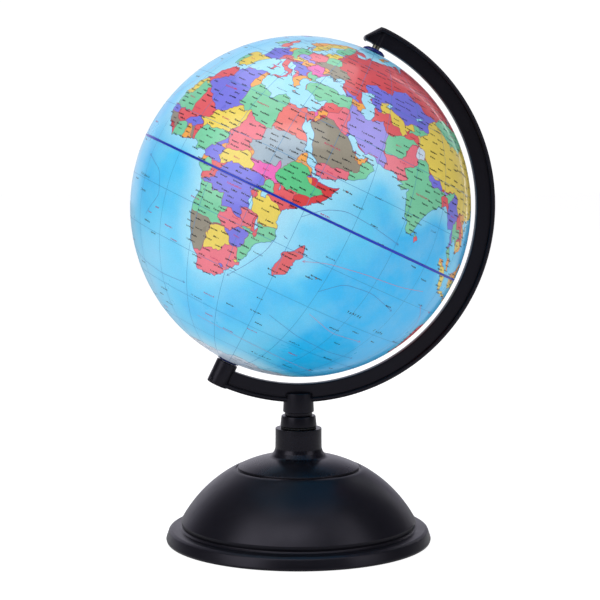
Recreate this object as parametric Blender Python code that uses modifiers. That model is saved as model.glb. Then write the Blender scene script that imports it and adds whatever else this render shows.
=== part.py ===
"""A 20 cm desktop globe: a two-shell globe that spins on a tilted axis in a C-shaped arm,
and the arm swivels in the neck of a weighted dome base. Metres, +Z up. The origin is the
centre of the resting face, the swivel axis is Z, and the arm lies in the XZ plane with the
north pole towards +X."""

from math import asin, cos, hypot, pi, radians, sin

import bmesh
import bpy
from mathutils import Matrix

MM = 0.001
GAP = 0.3 * MM  # clearance kept between any two pieces
SEGMENTS = 40  # round a large turned piece
MEDIUM_SEGMENTS = 24  # round the neck, collar, caps and bushes
SMALL_SEGMENTS = 14  # round a pin, screw or washer

# Globe
GLOBE_R = 100 * MM
GLOBE_WALL = 1.8 * MM
TILT = radians(25.4)
CENTRE_X = 1.2 * MM
CENTRE_Z = 199.0 * MM
POLE_HOLE_R = 4.2 * MM
TAPE_HALF_WIDTH = 0.6 * MM
TAPE_DEPTH = 0.5 * MM
RING_R = 97.0 * MM
RING_WALL = 1.8 * MM
RING_HALF_WIDTH = 5.0 * MM
CAP_R = 6.8 * MM
CAP_SEAT = 100.15 * MM  # height of a polar cap's underside over the globe's centre
NORTH_CAP_THICK = 2.1 * MM
SOUTH_CAP_THICK = 0.75 * MM
PIN_R = 2.25 * MM
PIN_INNER_END = 90 * MM  # where both pins stop inside the globe
BUSH_R = 3.8 * MM
BUSH_FLANGE_R = 7.5 * MM
BUSH_FLANGE_THICK = 1.5 * MM

# Arm
ARM_INNER_R = 104.8 * MM
ARM_OUTER_R = 115.6 * MM
WEB_HALF_DEPTH = 3.3 * MM
FLANGE_THICK = 2.6 * MM
FLANGE_HALF_DEPTH = 5.3 * MM
NOSE_R = 2.0 * MM
NOSE_X = -6.9 * MM
NOSE_Z = 106.4 * MM
PEAK_X = -2.3 * MM  # the outer corner of the arm's north end
SOUTH_END_X = -5.6 * MM
BOSS_R = 6.5 * MM
BOSS_TOP = 101.3 * MM
BOSS_BOTTOM = 116.0 * MM
PIN_BOSS_R = 3.8 * MM
PIN_BOSS_TOP = 114.2 * MM
PIN_OUTER_END = 112.5 * MM
SINK = 0.3 * MM  # how far a joined solid reaches into or past its neighbour
THRUST_WASHER_R = 4.2 * MM
THRUST_WASHER_THICK = 1.0 * MM
WASHER_RECESS = 0.1 * MM

# Stem, collar and swivel
STEM_TOP = 89.0 * MM
STEM_TOP_R = 8.7 * MM
STEM_FOOT = 77.5 * MM
STEM_FOOT_R = 9.25 * MM
GROOVE_R = 8.2 * MM
COLLAR_TOP = 75.2 * MM
COLLAR_TOP_R = 10.15 * MM
COLLAR_SHOULDER = 68.9 * MM
COLLAR_SHOULDER_R = 10.9 * MM
COLLAR_FOOT = 58.0 * MM
COLLAR_FOOT_R = 9.2 * MM
SPIGOT_R = 6.0 * MM
SOCKET_R = 9.6 * MM
SCREW_R = 1.6 * MM
SCREW_HEAD_R = 3.0 * MM
SCREW_HEAD_THICK = 1.5 * MM
STEM_SCREW_HEAD_R = 4.0 * MM
STEM_SCREW_HEAD_THICK = 2.4 * MM
STEM_SCREW_TIP = 72 * MM
STEM_WASHER_R = 7.0 * MM
STEM_WASHER_THICK = 1.1 * MM

# Neck
NECK_TOP = 67.6 * MM
NECK_TOP_R = 13.8 * MM
NECK_FOOT_R = 14.3 * MM
NECK_FOOT_Z = 55.0 * MM
CAP_RISE = 6.4 * MM  # from the edge of the disc to the foot of the neck
CAP_BULGE = 1.15 * MM  # how far the disc's upper face stands out of a plain cone
DISC_R = 36.2 * MM
DISC_TOP = 44.5 * MM
DISC_BOTTOM = 43.6 * MM
SOCKET_FLOOR = 57.0 * MM
SOCKET_CEILING = 53.3 * MM  # underside of the socket's floor
CAVITY_R = 8.5 * MM
NECK_SCREW_CIRCLE = 26 * MM
NECK_SCREW_TIP = 46.8 * MM

# Base
DOME_ARC_R = 77.4 * MM
DOME_ARC_X = 2.2 * MM
DOME_ARC_Z = -24.8 * MM
DOME_WALL = 2.3 * MM
DOME_SHOULDER_Z = 12.3 * MM
SEAT_Z = DISC_BOTTOM - GAP
CROWN_HOLE_R = 15 * MM
CROWN_GROOVE_IN = 35.9 * MM
CROWN_GROOVE_OUT = 37.6 * MM
CROWN_GROOVE_DEPTH = 0.6 * MM
RIM_R = 79.2 * MM
RIM_TOP_R = 78.4 * MM
RIM_BOTTOM = 0.5 * MM
RIM_TOP = 7.9 * MM
RIM_INNER_R = 76.6 * MM
RIM_UNDERSIDE = 5.0 * MM
FOOT_R = 69.3 * MM
FOOT_Z = 9.2 * MM
POST_CIRCLE = 54 * MM
POST_R = 4.2 * MM
POST_BORE_TOP = 16 * MM
COVER_SCREW_TIP = 14 * MM
PAD_R = 70 * MM
PAD_THICK = 1.0 * MM
COVER_R = 75.5 * MM
COVER_BOTTOM = PAD_THICK + GAP
COVER_TOP = RIM_UNDERSIDE - GAP
COVER_RING_R = 48.2 * MM
COVER_RING_TOP = 9.0 * MM
BALLAST_R = 46 * MM
BALLAST_HOLE_R = 12 * MM
BALLAST_THICK = 6 * MM
SCREWS = 3


def clear_scene():
    for obj in list(bpy.data.objects):
        bpy.data.objects.remove(obj)


def collection(name):
    made = bpy.data.collections.new(name)
    bpy.context.scene.collection.children.link(made)
    return made


def material(name, colour, roughness, metallic=0.0):
    made = bpy.data.materials.new(name)
    made.use_nodes = True
    shader = made.node_tree.nodes["Principled BSDF"]
    shader.inputs["Base Color"].default_value = (*colour, 1)
    shader.inputs["Roughness"].default_value = roughness
    shader.inputs["Metallic"].default_value = metallic
    return made


def place(obj, parent=None, look=None, helper=False):
    """Links an object as a part of the globe, or as a cutter that only shapes a part."""
    (shapers if helper else parts).objects.link(obj)
    obj.parent = parent
    if look:
        obj.data.materials.append(look)
    if helper:
        obj.hide_render = True
        obj.display_type = "WIRE"
    return obj


def empty(name, location, tilt=0.0, parent=None):
    made = bpy.data.objects.new(name, None)
    parts.objects.link(made)
    made.parent = parent
    made.location = location
    made.rotation_euler = (0, tilt, 0)
    return made


def turned(name, profile, parent=None, look=None, segments=SEGMENTS, helper=False):
    """A solid of revolution about Z. The profile is (radius, height) points that run down the
    outer side. It closes on itself, or on the axis where both its ends are at radius 0."""
    mesh = bpy.data.meshes.new(name)
    count = len(profile)
    on_axis = profile[0][0] == 0 and profile[-1][0] == 0
    edges = [(i, (i + 1) % count) for i in range(count - on_axis)]
    mesh.from_pydata([(r, 0, z) for r, z in profile], edges, [])
    obj = place(bpy.data.objects.new(name, mesh), parent, look, helper)
    screw = obj.modifiers.new("Turn", "SCREW")
    screw.steps = screw.render_steps = segments
    screw.use_merge_vertices = True
    screw.merge_threshold = 0.00001
    screw.use_smooth_shade = True
    return obj


def cylinder(name, radius, low, high, parent=None, helper=True, segments=SMALL_SEGMENTS):
    return turned(
        name,
        [(0, high), (radius, high), (radius, low), (0, low)],
        parent,
        segments=segments,
        helper=helper,
    )


def tube(name, outer, inner, low, high, parent, look, segments=SMALL_SEGMENTS):
    return turned(
        name,
        [(inner, high), (outer, high), (outer, low), (inner, low)],
        parent,
        look,
        segments=segments,
    )


def arc(radius, start, end, steps, x=0.0, z=0.0):
    """Points at the radius round (x, z), at angles from the horizontal."""
    angles = [start + (end - start) * i / steps for i in range(steps + 1)]
    return [(x + radius * cos(a), z + radius * sin(a)) for a in angles]


def plate(name, outline, half_depth):
    """A flat plate in the XZ plane, from a closed outline of (x, z) points."""
    curve = bpy.data.curves.new(name, "CURVE")
    curve.dimensions = "2D"
    curve.fill_mode = "BOTH"
    curve.extrude = half_depth
    spline = curve.splines.new("POLY")
    spline.points.add(len(outline) - 1)
    for point, (x, z) in zip(spline.points, outline):
        point.co = (x, z, 0, 1)
    spline.use_cyclic_u = True
    flat = bpy.data.objects.new(name, curve)
    shapers.objects.link(flat)
    graph = bpy.context.evaluated_depsgraph_get()
    mesh = bpy.data.meshes.new_from_object(flat.evaluated_get(graph))
    bpy.data.objects.remove(flat)
    solid = bmesh.new()
    solid.from_mesh(mesh)
    bmesh.ops.remove_doubles(solid, verts=solid.verts, dist=0.000001)
    bmesh.ops.recalc_face_normals(solid, faces=solid.faces)
    solid.transform(Matrix.Rotation(pi / 2, 4, "X"))
    solid.to_mesh(mesh)
    solid.free()
    return bpy.data.objects.new(name, mesh)


def boolean(obj, other, operation):
    modifier = obj.modifiers.new(f"{operation.title()} {other.name}", "BOOLEAN")
    modifier.operation = operation
    modifier.object = other


def round_the_axis(count, radius):
    return [
        (radius * cos(2 * pi * i / count), radius * sin(2 * pi * i / count))
        for i in range(count)
    ]


def screw(name, head_r, head_thick, under_head, tip, x, y, parent, look):
    """A pan-head screw that points up: its head is below the height under_head."""
    obj = turned(
        name,
        [
            (0, tip),
            (SCREW_R * 0.4, tip),
            (SCREW_R, tip - 1.5 * MM),
            (SCREW_R, under_head),
            (head_r, under_head),
            (head_r, under_head - 0.6 * head_thick),
            (head_r * 0.7, under_head - head_thick),
            (0, under_head - head_thick),
        ],
        parent,
        look,
        SMALL_SEGMENTS,
    )
    obj.location.x = x
    obj.location.y = y
    return obj


def base_dome(look):
    """The hollow dome with its rim. Three posts hang inside it for the cover's screws."""
    start = asin((DOME_SHOULDER_Z - DOME_ARC_Z) / DOME_ARC_R)
    end = asin((SEAT_Z - DOME_ARC_Z) / DOME_ARC_R)
    outer = arc(DOME_ARC_R, end, start, 9, DOME_ARC_X, DOME_ARC_Z)
    inner_r = DOME_ARC_R - DOME_WALL
    inner_end = asin((SEAT_Z - DOME_WALL - DOME_ARC_Z) / inner_r)
    inner = arc(inner_r, start, inner_end, 6, DOME_ARC_X, DOME_ARC_Z)
    rim = [
        (FOOT_R + 0.3 * MM, FOOT_Z + 0.8 * MM),
        (FOOT_R, FOOT_Z),
        (FOOT_R + 1.2 * MM, RIM_TOP + 0.3 * MM),
        (RIM_TOP_R - 2.8 * MM, RIM_TOP),
        (RIM_TOP_R - 1.1 * MM, RIM_TOP - 0.7 * MM),
        (RIM_TOP_R, RIM_TOP - 2.0 * MM),
        (RIM_R, RIM_BOTTOM + 1.2 * MM),
        (RIM_R - 0.4 * MM, RIM_BOTTOM),
        (RIM_INNER_R, RIM_BOTTOM),
        (RIM_INNER_R, RIM_UNDERSIDE),
        (FOOT_R - DOME_WALL, RIM_UNDERSIDE),
    ]
    crown = [
        (CROWN_HOLE_R, SEAT_Z - DOME_WALL),
        (CROWN_HOLE_R, SEAT_Z),
        (CROWN_GROOVE_IN, SEAT_Z),
        (CROWN_GROOVE_IN, SEAT_Z - CROWN_GROOVE_DEPTH),
        (CROWN_GROOVE_OUT, SEAT_Z - CROWN_GROOVE_DEPTH),
        (CROWN_GROOVE_OUT, SEAT_Z),
    ]
    dome = turned("base_dome", outer + rim + inner + crown, None, look)
    core_r = DOME_ARC_R - DOME_WALL / 2
    core_top = asin((SEAT_Z - DOME_WALL / 2 - DOME_ARC_Z) / core_r)
    core_arc = arc(core_r, core_top, start, 9, DOME_ARC_X, DOME_ARC_Z)
    core_profile = [(0, core_arc[0][1]), *core_arc, (core_arc[-1][0], 0), (0, 0)]
    core = turned("dome_core", core_profile, helper=True)
    post_profile = [
        (0, SEAT_Z),
        (POST_R, SEAT_Z),
        (POST_R, COVER_TOP + 2 * GAP),
        (SCREW_R + GAP, COVER_TOP + 2 * GAP),
        (SCREW_R + GAP, POST_BORE_TOP),
        (0, POST_BORE_TOP),
    ]
    for i, (x, y) in enumerate(round_the_axis(SCREWS, POST_CIRCLE), 1):
        post = turned(f"post_{i}", post_profile, segments=SMALL_SEGMENTS, helper=True)
        post.location.x = x
        post.location.y = y
        boolean(post, core, "INTERSECT")
        boolean(dome, post, "UNION")
    for i, (x, y) in enumerate(round_the_axis(SCREWS, NECK_SCREW_CIRCLE), 1):
        hole = cylinder(f"crown_hole_{i}", SCREW_R + GAP, SEAT_Z - 6 * MM, SEAT_Z + 2 * MM)
        hole.location.x = x
        hole.location.y = y
        boolean(dome, hole, "DIFFERENCE")


def neck_socket(look):
    """The neck and its disc: a socket for the collar on a domed cap that covers the crown."""
    cap = [
        (DISC_R + (NECK_FOOT_R - DISC_R) * t, DISC_TOP + CAP_RISE * t + 4 * CAP_BULGE * t * (1 - t))
        for t in (0.85, 0.68, 0.51, 0.34, 0.18, 0.04)
    ]
    profile = [
        (SOCKET_R, NECK_TOP),
        (NECK_TOP_R - 0.3 * MM, NECK_TOP),
        (NECK_TOP_R, NECK_TOP - 0.3 * MM),
        (NECK_TOP_R, NECK_TOP - 6.0 * MM),
        (NECK_FOOT_R, NECK_FOOT_Z),
        (NECK_FOOT_R + 0.5 * MM, NECK_FOOT_Z - 1.5 * MM),
        (NECK_FOOT_R + 1.5 * MM, NECK_FOOT_Z - 3.1 * MM),
        *cap,
        (DISC_R, DISC_TOP - 0.3 * MM),
        (DISC_R, DISC_BOTTOM),
        (CAVITY_R, DISC_BOTTOM),
        (CAVITY_R, SOCKET_CEILING),
        (SCREW_R + GAP, SOCKET_CEILING),
        (SCREW_R + GAP, SOCKET_FLOOR),
        (SOCKET_R, SOCKET_FLOOR),
    ]
    neck = turned("neck_socket", profile, None, look, 2 * SMALL_SEGMENTS)
    for i, (x, y) in enumerate(round_the_axis(SCREWS, NECK_SCREW_CIRCLE), 1):
        hole = cylinder(f"neck_hole_{i}", SCREW_R + GAP, DISC_BOTTOM - 2 * MM, NECK_SCREW_TIP + GAP)
        hole.location.x = x
        hole.location.y = y
        boolean(neck, hole, "DIFFERENCE")


def base_insides(plastic, steel, iron, foam):
    turned(
        "foot_pad",
        [(0, PAD_THICK), (PAD_R, PAD_THICK), (PAD_R, 0), (0, 0)],
        None,
        foam,
    )
    ring_inner = BALLAST_R + GAP
    cover = turned(
        "bottom_cover",
        [
            (0, COVER_TOP),
            (ring_inner, COVER_TOP),
            (ring_inner, COVER_RING_TOP),
            (COVER_RING_R, COVER_RING_TOP),
            (COVER_RING_R, COVER_TOP),
            (COVER_R, COVER_TOP),
            (COVER_R, COVER_BOTTOM),
            (0, COVER_BOTTOM),
        ],
        None,
        plastic,
    )
    head_seat = COVER_BOTTOM + SCREW_HEAD_THICK + GAP
    hole_profile = [
        (0, COVER_TOP + 5 * MM),
        (SCREW_R + GAP, COVER_TOP + 5 * MM),
        (SCREW_R + GAP, head_seat + GAP),
        (SCREW_HEAD_R + GAP, head_seat + GAP),
        (SCREW_HEAD_R + GAP, 0),
        (0, 0),
    ]
    for i, (x, y) in enumerate(round_the_axis(SCREWS, POST_CIRCLE), 1):
        hole = turned(f"cover_hole_{i}", hole_profile, segments=SMALL_SEGMENTS, helper=True)
        hole.location.x = x
        hole.location.y = y
        boolean(cover, hole, "DIFFERENCE")
        screw(
            f"cover_screw_{i}",
            SCREW_HEAD_R,
            SCREW_HEAD_THICK,
            head_seat,
            COVER_SCREW_TIP,
            x,
            y,
            None,
            steel,
        )
    tube(
        "ballast_plate",
        BALLAST_R,
        BALLAST_HOLE_R,
        COVER_TOP + GAP,
        COVER_TOP + GAP + BALLAST_THICK,
        None,
        iron,
        SEGMENTS,
    )
    for i, (x, y) in enumerate(round_the_axis(SCREWS, NECK_SCREW_CIRCLE), 1):
        screw(
            f"neck_screw_{i}",
            SCREW_HEAD_R,
            SCREW_HEAD_THICK,
            SEAT_Z - DOME_WALL - GAP,
            NECK_SCREW_TIP,
            x,
            y,
            None,
            steel,
        )
    tube(
        "friction_washer",
        COLLAR_SHOULDER_R - 0.4 * MM,
        SOCKET_R,
        NECK_TOP + GAP,
        COLLAR_SHOULDER - GAP,
        None,
        foam,
        SEGMENTS,
    )


def polar(radius, angle):
    """A point in the tilted frame, at an angle from the north pole."""
    return radius * sin(angle), radius * cos(angle)


def north_end():
    """The arm's rounded nose and sloping end face, from the inner edge up to the peak."""
    peak = polar(ARM_OUTER_R, asin(PEAK_X / ARM_OUTER_R))
    slope = hypot(peak[0] - NOSE_X, peak[1] - NOSE_Z)
    along = ((peak[0] - NOSE_X) / slope, (peak[1] - NOSE_Z) / slope)
    face_angle = pi - asin(along[0])
    return arc(NOSE_R, 3 * pi / 2, face_angle, 5, NOSE_X, NOSE_Z) + [peak], along


def meridian_arm(parent, look):
    """The C-shaped arm: a web with a deeper flange round its outside, a boss for each pin,
    and the stem that stands in the collar."""
    south = pi - asin(SOUTH_END_X / ARM_OUTER_R)
    nose, along = north_end()
    outer = [polar(ARM_OUTER_R, south * i / 36) for i in range(1, 37)]
    inner = [polar(ARM_INNER_R, south * (30 - i) / 30) for i in range(31)]
    arm = plate("meridian_arm", nose + outer + inner, WEB_HALF_DEPTH)
    place(arm, parent, look)

    flange_inner_r = ARM_OUTER_R - FLANGE_THICK
    end_wall = (
        NOSE_X - NOSE_R * along[1] + FLANGE_THICK * along[1],
        NOSE_Z + NOSE_R * along[0] - FLANGE_THICK * along[0],
    )
    back = [polar(flange_inner_r, south * (30 - i) / 30) for i in range(31)]
    flange = plate("flange", nose + outer + back + [end_wall], FLANGE_HALF_DEPTH)
    place(flange, parent, helper=True)
    boolean(arm, flange, "UNION")

    boss = cylinder("boss", BOSS_R, -BOSS_BOTTOM, -BOSS_TOP, parent, segments=MEDIUM_SEGMENTS)
    pin_boss = cylinder("pin_boss", PIN_BOSS_R, ARM_INNER_R - SINK, PIN_BOSS_TOP, parent)
    boolean(arm, boss, "UNION")
    boolean(arm, pin_boss, "UNION")

    stem = turned(
        "stem",
        [
            (0, STEM_TOP),
            (STEM_TOP_R, STEM_TOP),
            (STEM_FOOT_R, STEM_FOOT),
            (GROOVE_R, STEM_FOOT - SINK),
            (GROOVE_R, COLLAR_TOP + GAP),
            (SPIGOT_R, COLLAR_TOP + GAP),
            (SPIGOT_R, SOCKET_FLOOR + GAP),
            (0, SOCKET_FLOOR + GAP),
        ],
        swivel,
        segments=MEDIUM_SEGMENTS,
        helper=True,
    )
    boolean(arm, stem, "UNION")

    washer_seat = BOSS_TOP + THRUST_WASHER_THICK + GAP - WASHER_RECESS
    hole_r = PIN_R + GAP
    screw_bore = cylinder("stem_bore", SCREW_R + GAP, SOCKET_FLOOR - 2 * MM, STEM_SCREW_TIP + GAP, swivel)
    for cutter in (
        cylinder("north_bore", hole_r, PIN_INNER_END, PIN_OUTER_END + GAP, parent),
        cylinder("south_bore", hole_r, -PIN_OUTER_END - GAP, -PIN_INNER_END, parent),
        cylinder("washer_bore", THRUST_WASHER_R + GAP, -washer_seat, -PIN_INNER_END, parent),
        screw_bore,
    ):
        boolean(arm, cutter, "DIFFERENCE")


def collar_and_screw(plastic, steel):
    turned(
        "swivel_collar",
        [
            (SPIGOT_R + GAP, COLLAR_TOP),
            (COLLAR_TOP_R, COLLAR_TOP),
            (COLLAR_SHOULDER_R, COLLAR_SHOULDER),
            (COLLAR_FOOT_R, COLLAR_SHOULDER),
            (COLLAR_FOOT_R, COLLAR_FOOT),
            (SPIGOT_R + GAP, COLLAR_FOOT),
        ],
        swivel,
        plastic,
        MEDIUM_SEGMENTS,
    )
    washer_top = SOCKET_CEILING - GAP
    washer_bottom = washer_top - STEM_WASHER_THICK
    tube(
        "stem_washer", STEM_WASHER_R, SCREW_R + GAP, washer_bottom, washer_top, swivel, steel
    )
    screw(
        "stem_screw",
        STEM_SCREW_HEAD_R,
        STEM_SCREW_HEAD_THICK,
        washer_bottom - GAP,
        STEM_SCREW_TIP,
        0,
        0,
        swivel,
        steel,
    )


def pins(parent, steel, nylon):
    for name, side in (("north_pin", 1), ("south_pin", -1)):
        low, high = sorted((side * PIN_INNER_END, side * PIN_OUTER_END))
        pin = cylinder(name, PIN_R, low, high, parent, helper=False)
        pin.data.materials.append(steel)
    top = WASHER_RECESS - BOSS_TOP
    hole_r = PIN_R + GAP
    tube("thrust_washer", THRUST_WASHER_R, hole_r, top - THRUST_WASHER_THICK, top, parent, nylon)


def hemisphere(name, parent, look):
    """The northern shell, from the pole hole to the joint, rebated for the equator tape."""
    inner_r = GLOBE_R - GLOBE_WALL
    rebate_z = TAPE_HALF_WIDTH + GAP
    rebate_r = GLOBE_R - TAPE_DEPTH - GAP
    edge_z = GAP / 2
    top = pi / 2 - asin(POLE_HOLE_R / GLOBE_R)
    inner_top = pi / 2 - asin(POLE_HOLE_R / inner_r)
    outer = arc(GLOBE_R, top, asin(rebate_z / GLOBE_R), 8)
    step = [(rebate_r, rebate_z), (rebate_r, edge_z)]
    inner = arc(inner_r, asin(edge_z / inner_r), inner_top, 7)
    return turned(name, outer + step + inner, parent, look)


def globe(parent, paper, tape_look, navy, nylon, plastic):
    hemisphere("north_hemisphere", parent, paper)
    south = hemisphere("south_hemisphere", parent, paper)
    south.rotation_euler = (pi, 0, 0)
    tube(
        "equator_tape",
        GLOBE_R + 0.05 * MM,
        GLOBE_R - TAPE_DEPTH,
        -TAPE_HALF_WIDTH,
        TAPE_HALF_WIDTH,
        parent,
        tape_look,
        SEGMENTS,
    )
    tube(
        "joint_ring",
        RING_R,
        RING_R - RING_WALL,
        -RING_HALF_WIDTH,
        RING_HALF_WIDTH,
        parent,
        plastic,
        SEGMENTS,
    )
    hole_r = PIN_R + GAP
    for pole, turn, thick in (("north", 0, NORTH_CAP_THICK), ("south", pi, SOUTH_CAP_THICK)):
        cap = turned(
            f"{pole}_cap",
            [
                (hole_r, CAP_SEAT + thick),
                (CAP_R - 1.6 * MM, CAP_SEAT + thick),
                (CAP_R, CAP_SEAT + 0.4 * thick),
                (CAP_R, CAP_SEAT),
                (hole_r, CAP_SEAT),
            ],
            parent,
            navy,
            MEDIUM_SEGMENTS,
        )
        flange_top = GLOBE_R - GLOBE_WALL - 1.2 * MM
        bush = turned(
            f"{pole}_bush",
            [
                (hole_r, CAP_SEAT - GAP),
                (BUSH_R, CAP_SEAT - GAP),
                (BUSH_R, flange_top),
                (BUSH_FLANGE_R, flange_top),
                (BUSH_FLANGE_R, flange_top - BUSH_FLANGE_THICK),
                (BUSH_R, flange_top - BUSH_FLANGE_THICK),
                (BUSH_R, PIN_INNER_END + 2 * MM),
                (hole_r, PIN_INNER_END + 2 * MM),
            ],
            parent,
            nylon,
            MEDIUM_SEGMENTS,
        )
        cap.rotation_euler = bush.rotation_euler = (turn, 0, 0)


clear_scene()
parts = collection("desktop_globe")
shapers = collection("cutters")

black = material("black_plastic", (0.018, 0.018, 0.02), 0.35)
black_smooth = material("black_plastic_turned", (0.018, 0.018, 0.02), 0.3)
steel = material("steel", (0.62, 0.6, 0.56), 0.3, 1.0)
iron = material("ballast_iron", (0.2, 0.2, 0.2), 0.6, 1.0)
foam = material("foam_pad", (0.03, 0.03, 0.03), 0.9)
nylon = material("nylon", (0.8, 0.8, 0.78), 0.45)
printed_map = material("printed_map", (0.1, 0.5, 0.85), 0.2)
tape_blue = material("tape_blue", (0.02, 0.05, 0.3), 0.3)
navy = material("navy_plastic", (0.01, 0.015, 0.06), 0.3)
styrene = material("white_styrene", (0.75, 0.75, 0.75), 0.5)

swivel = empty("arm_swivel", (0, 0, 0))
axis = empty("globe_axis", (CENTRE_X, 0, CENTRE_Z), TILT, swivel)

base_dome(black)
neck_socket(black_smooth)
base_insides(black, steel, iron, foam)
meridian_arm(axis, black)
collar_and_screw(black_smooth, steel)
pins(axis, steel, nylon)
globe(axis, printed_map, tape_blue, navy, nylon, styrene)
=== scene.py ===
"""Looks for the desktop globe: a moulded black stand and a two-shell globe with a printed
world map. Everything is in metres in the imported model's frame, and sizes in millimetres
are multiplied by MM."""

from math import asin, cos, degrees, hypot, pi, radians, sin, tau

import bmesh
import bpy
import numpy as np
from mathutils import Matrix, Vector, geometry, kdtree


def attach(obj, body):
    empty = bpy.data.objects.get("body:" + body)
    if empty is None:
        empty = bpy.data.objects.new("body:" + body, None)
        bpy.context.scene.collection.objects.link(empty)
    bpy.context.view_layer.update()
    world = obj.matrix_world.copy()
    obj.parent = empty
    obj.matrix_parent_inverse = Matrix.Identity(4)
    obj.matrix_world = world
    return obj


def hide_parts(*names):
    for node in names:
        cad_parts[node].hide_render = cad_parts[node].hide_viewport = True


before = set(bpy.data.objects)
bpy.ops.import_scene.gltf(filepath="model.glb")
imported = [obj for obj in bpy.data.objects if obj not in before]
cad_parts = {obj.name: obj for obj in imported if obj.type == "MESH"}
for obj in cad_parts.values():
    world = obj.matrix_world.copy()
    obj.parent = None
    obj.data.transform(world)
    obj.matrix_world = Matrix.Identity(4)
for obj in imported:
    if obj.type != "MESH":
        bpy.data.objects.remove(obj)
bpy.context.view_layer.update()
scene = bpy.context.scene
rng = np.random.default_rng(7)

MM = 0.001
GLOBE_R = 100 * MM
GLOBE_WALL = 1.8 * MM
TILT = radians(25.4)
CENTRE = Vector((1.2 * MM, 0, 199.0 * MM))
TILTED = Matrix.Translation(CENTRE) @ Matrix.Rotation(TILT, 4, "Y")


def srgb(*channels):
    """A linear colour from 0-255 screen values."""
    out = []
    for value in channels:
        v = value / 255
        out.append(v / 12.92 if v <= 0.04045 else ((v + 0.055) / 1.055) ** 2.4)
    return (*out, 1.0)


# ---------------------------------------------------------------- meshes


def mm(points):
    """Points given in millimetres, as metres."""
    return [tuple(v * MM for v in p) for p in points]


def linked(name, data):
    obj = bpy.data.objects.new(name, data)
    scene.collection.objects.link(obj)
    return obj


def finish_piece(obj, body, replaces=(), sharp=32):
    """A smooth-shaded piece that rides on a body. Edges over the sharp angle stay crisp."""
    obj.data.shade_smooth()
    if sharp:
        obj.data.set_sharp_from_angle(angle=radians(sharp))
    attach(obj, body)
    if replaces:
        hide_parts(*replaces)


def rounded(profile, steps=4):
    """A profile of (radius, height, fillet) points with each corner replaced by a fillet."""
    out = []
    count = len(profile)
    for i, (x, z, fillet) in enumerate(profile):
        here = Vector((x, z))
        if not fillet:
            out.append((x, z))
            continue
        before = Vector(profile[(i - 1) % count][:2]) - here
        after = Vector(profile[(i + 1) % count][:2]) - here
        half = before.angle(after) / 2
        reach = min(fillet / max(np.tan(half), 1e-6), before.length * 0.49, after.length * 0.49)
        start = here + before.normalized() * reach
        end = here + after.normalized() * reach
        for k in range(steps + 1):
            t = k / steps
            p = start * (1 - t) ** 2 + here * 2 * t * (1 - t) + end * t * t
            out.append((p.x, p.y))
    return out


def lathe(profile, segments, closed=True):
    """Vertices and faces of a profile turned round Z. Points at radius 0 become poles."""
    verts, faces, rings = [], [], []
    for r, z in profile:
        if r < 1e-7:
            rings.append([len(verts)])
            verts.append((0, 0, z))
            continue
        rings.append(list(range(len(verts), len(verts) + segments)))
        for k in range(segments):
            a = tau * k / segments
            verts.append((r * cos(a), r * sin(a), z))
    pairs = list(zip(rings, rings[1:] + rings[:1]))
    if not closed:
        pairs.pop()
    for upper, lower in pairs:
        for k in range(segments):
            n = (k + 1) % segments
            face = [upper[k % len(upper)], lower[k % len(lower)]]
            face += [lower[n % len(lower)], upper[n % len(upper)]]
            unique = list(dict.fromkeys(face))
            if len(unique) > 2:
                faces.append(unique)
    return verts, faces


def lathed_mesh(name, profile, segments, matrix=None):
    """A mesh from (radius, height, fillet) points in millimetres. It is a ring unless both
    ends of the profile are on the axis."""
    closed = not (profile[0][0] == 0 and profile[-1][0] == 0)
    verts, faces = lathe(rounded(mm(profile)), segments, closed)
    mesh = bpy.data.meshes.new(name)
    mesh.from_pydata(verts, [], faces)
    if matrix:
        mesh.transform(matrix)
    return mesh


def turned(name, profile, body, look, segments, replaced, matrix=None):
    mesh = lathed_mesh(name, profile, segments, matrix)
    mesh.validate()
    finish_piece(linked(name, mesh), body, [replaced])
    mesh.materials.append(look)


def arc(radius, start, end, steps, x=0.0, z=0.0):
    """Points at the radius round (x, z), at angles from the horizontal."""
    angles = [start + (end - start) * i / steps for i in range(steps + 1)]
    return [(x + radius * cos(a), z + radius * sin(a)) for a in angles]


def plain(points):
    return [(r, z, 0) for r, z in points]


# ---------------------------------------------------------------- materials


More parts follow.
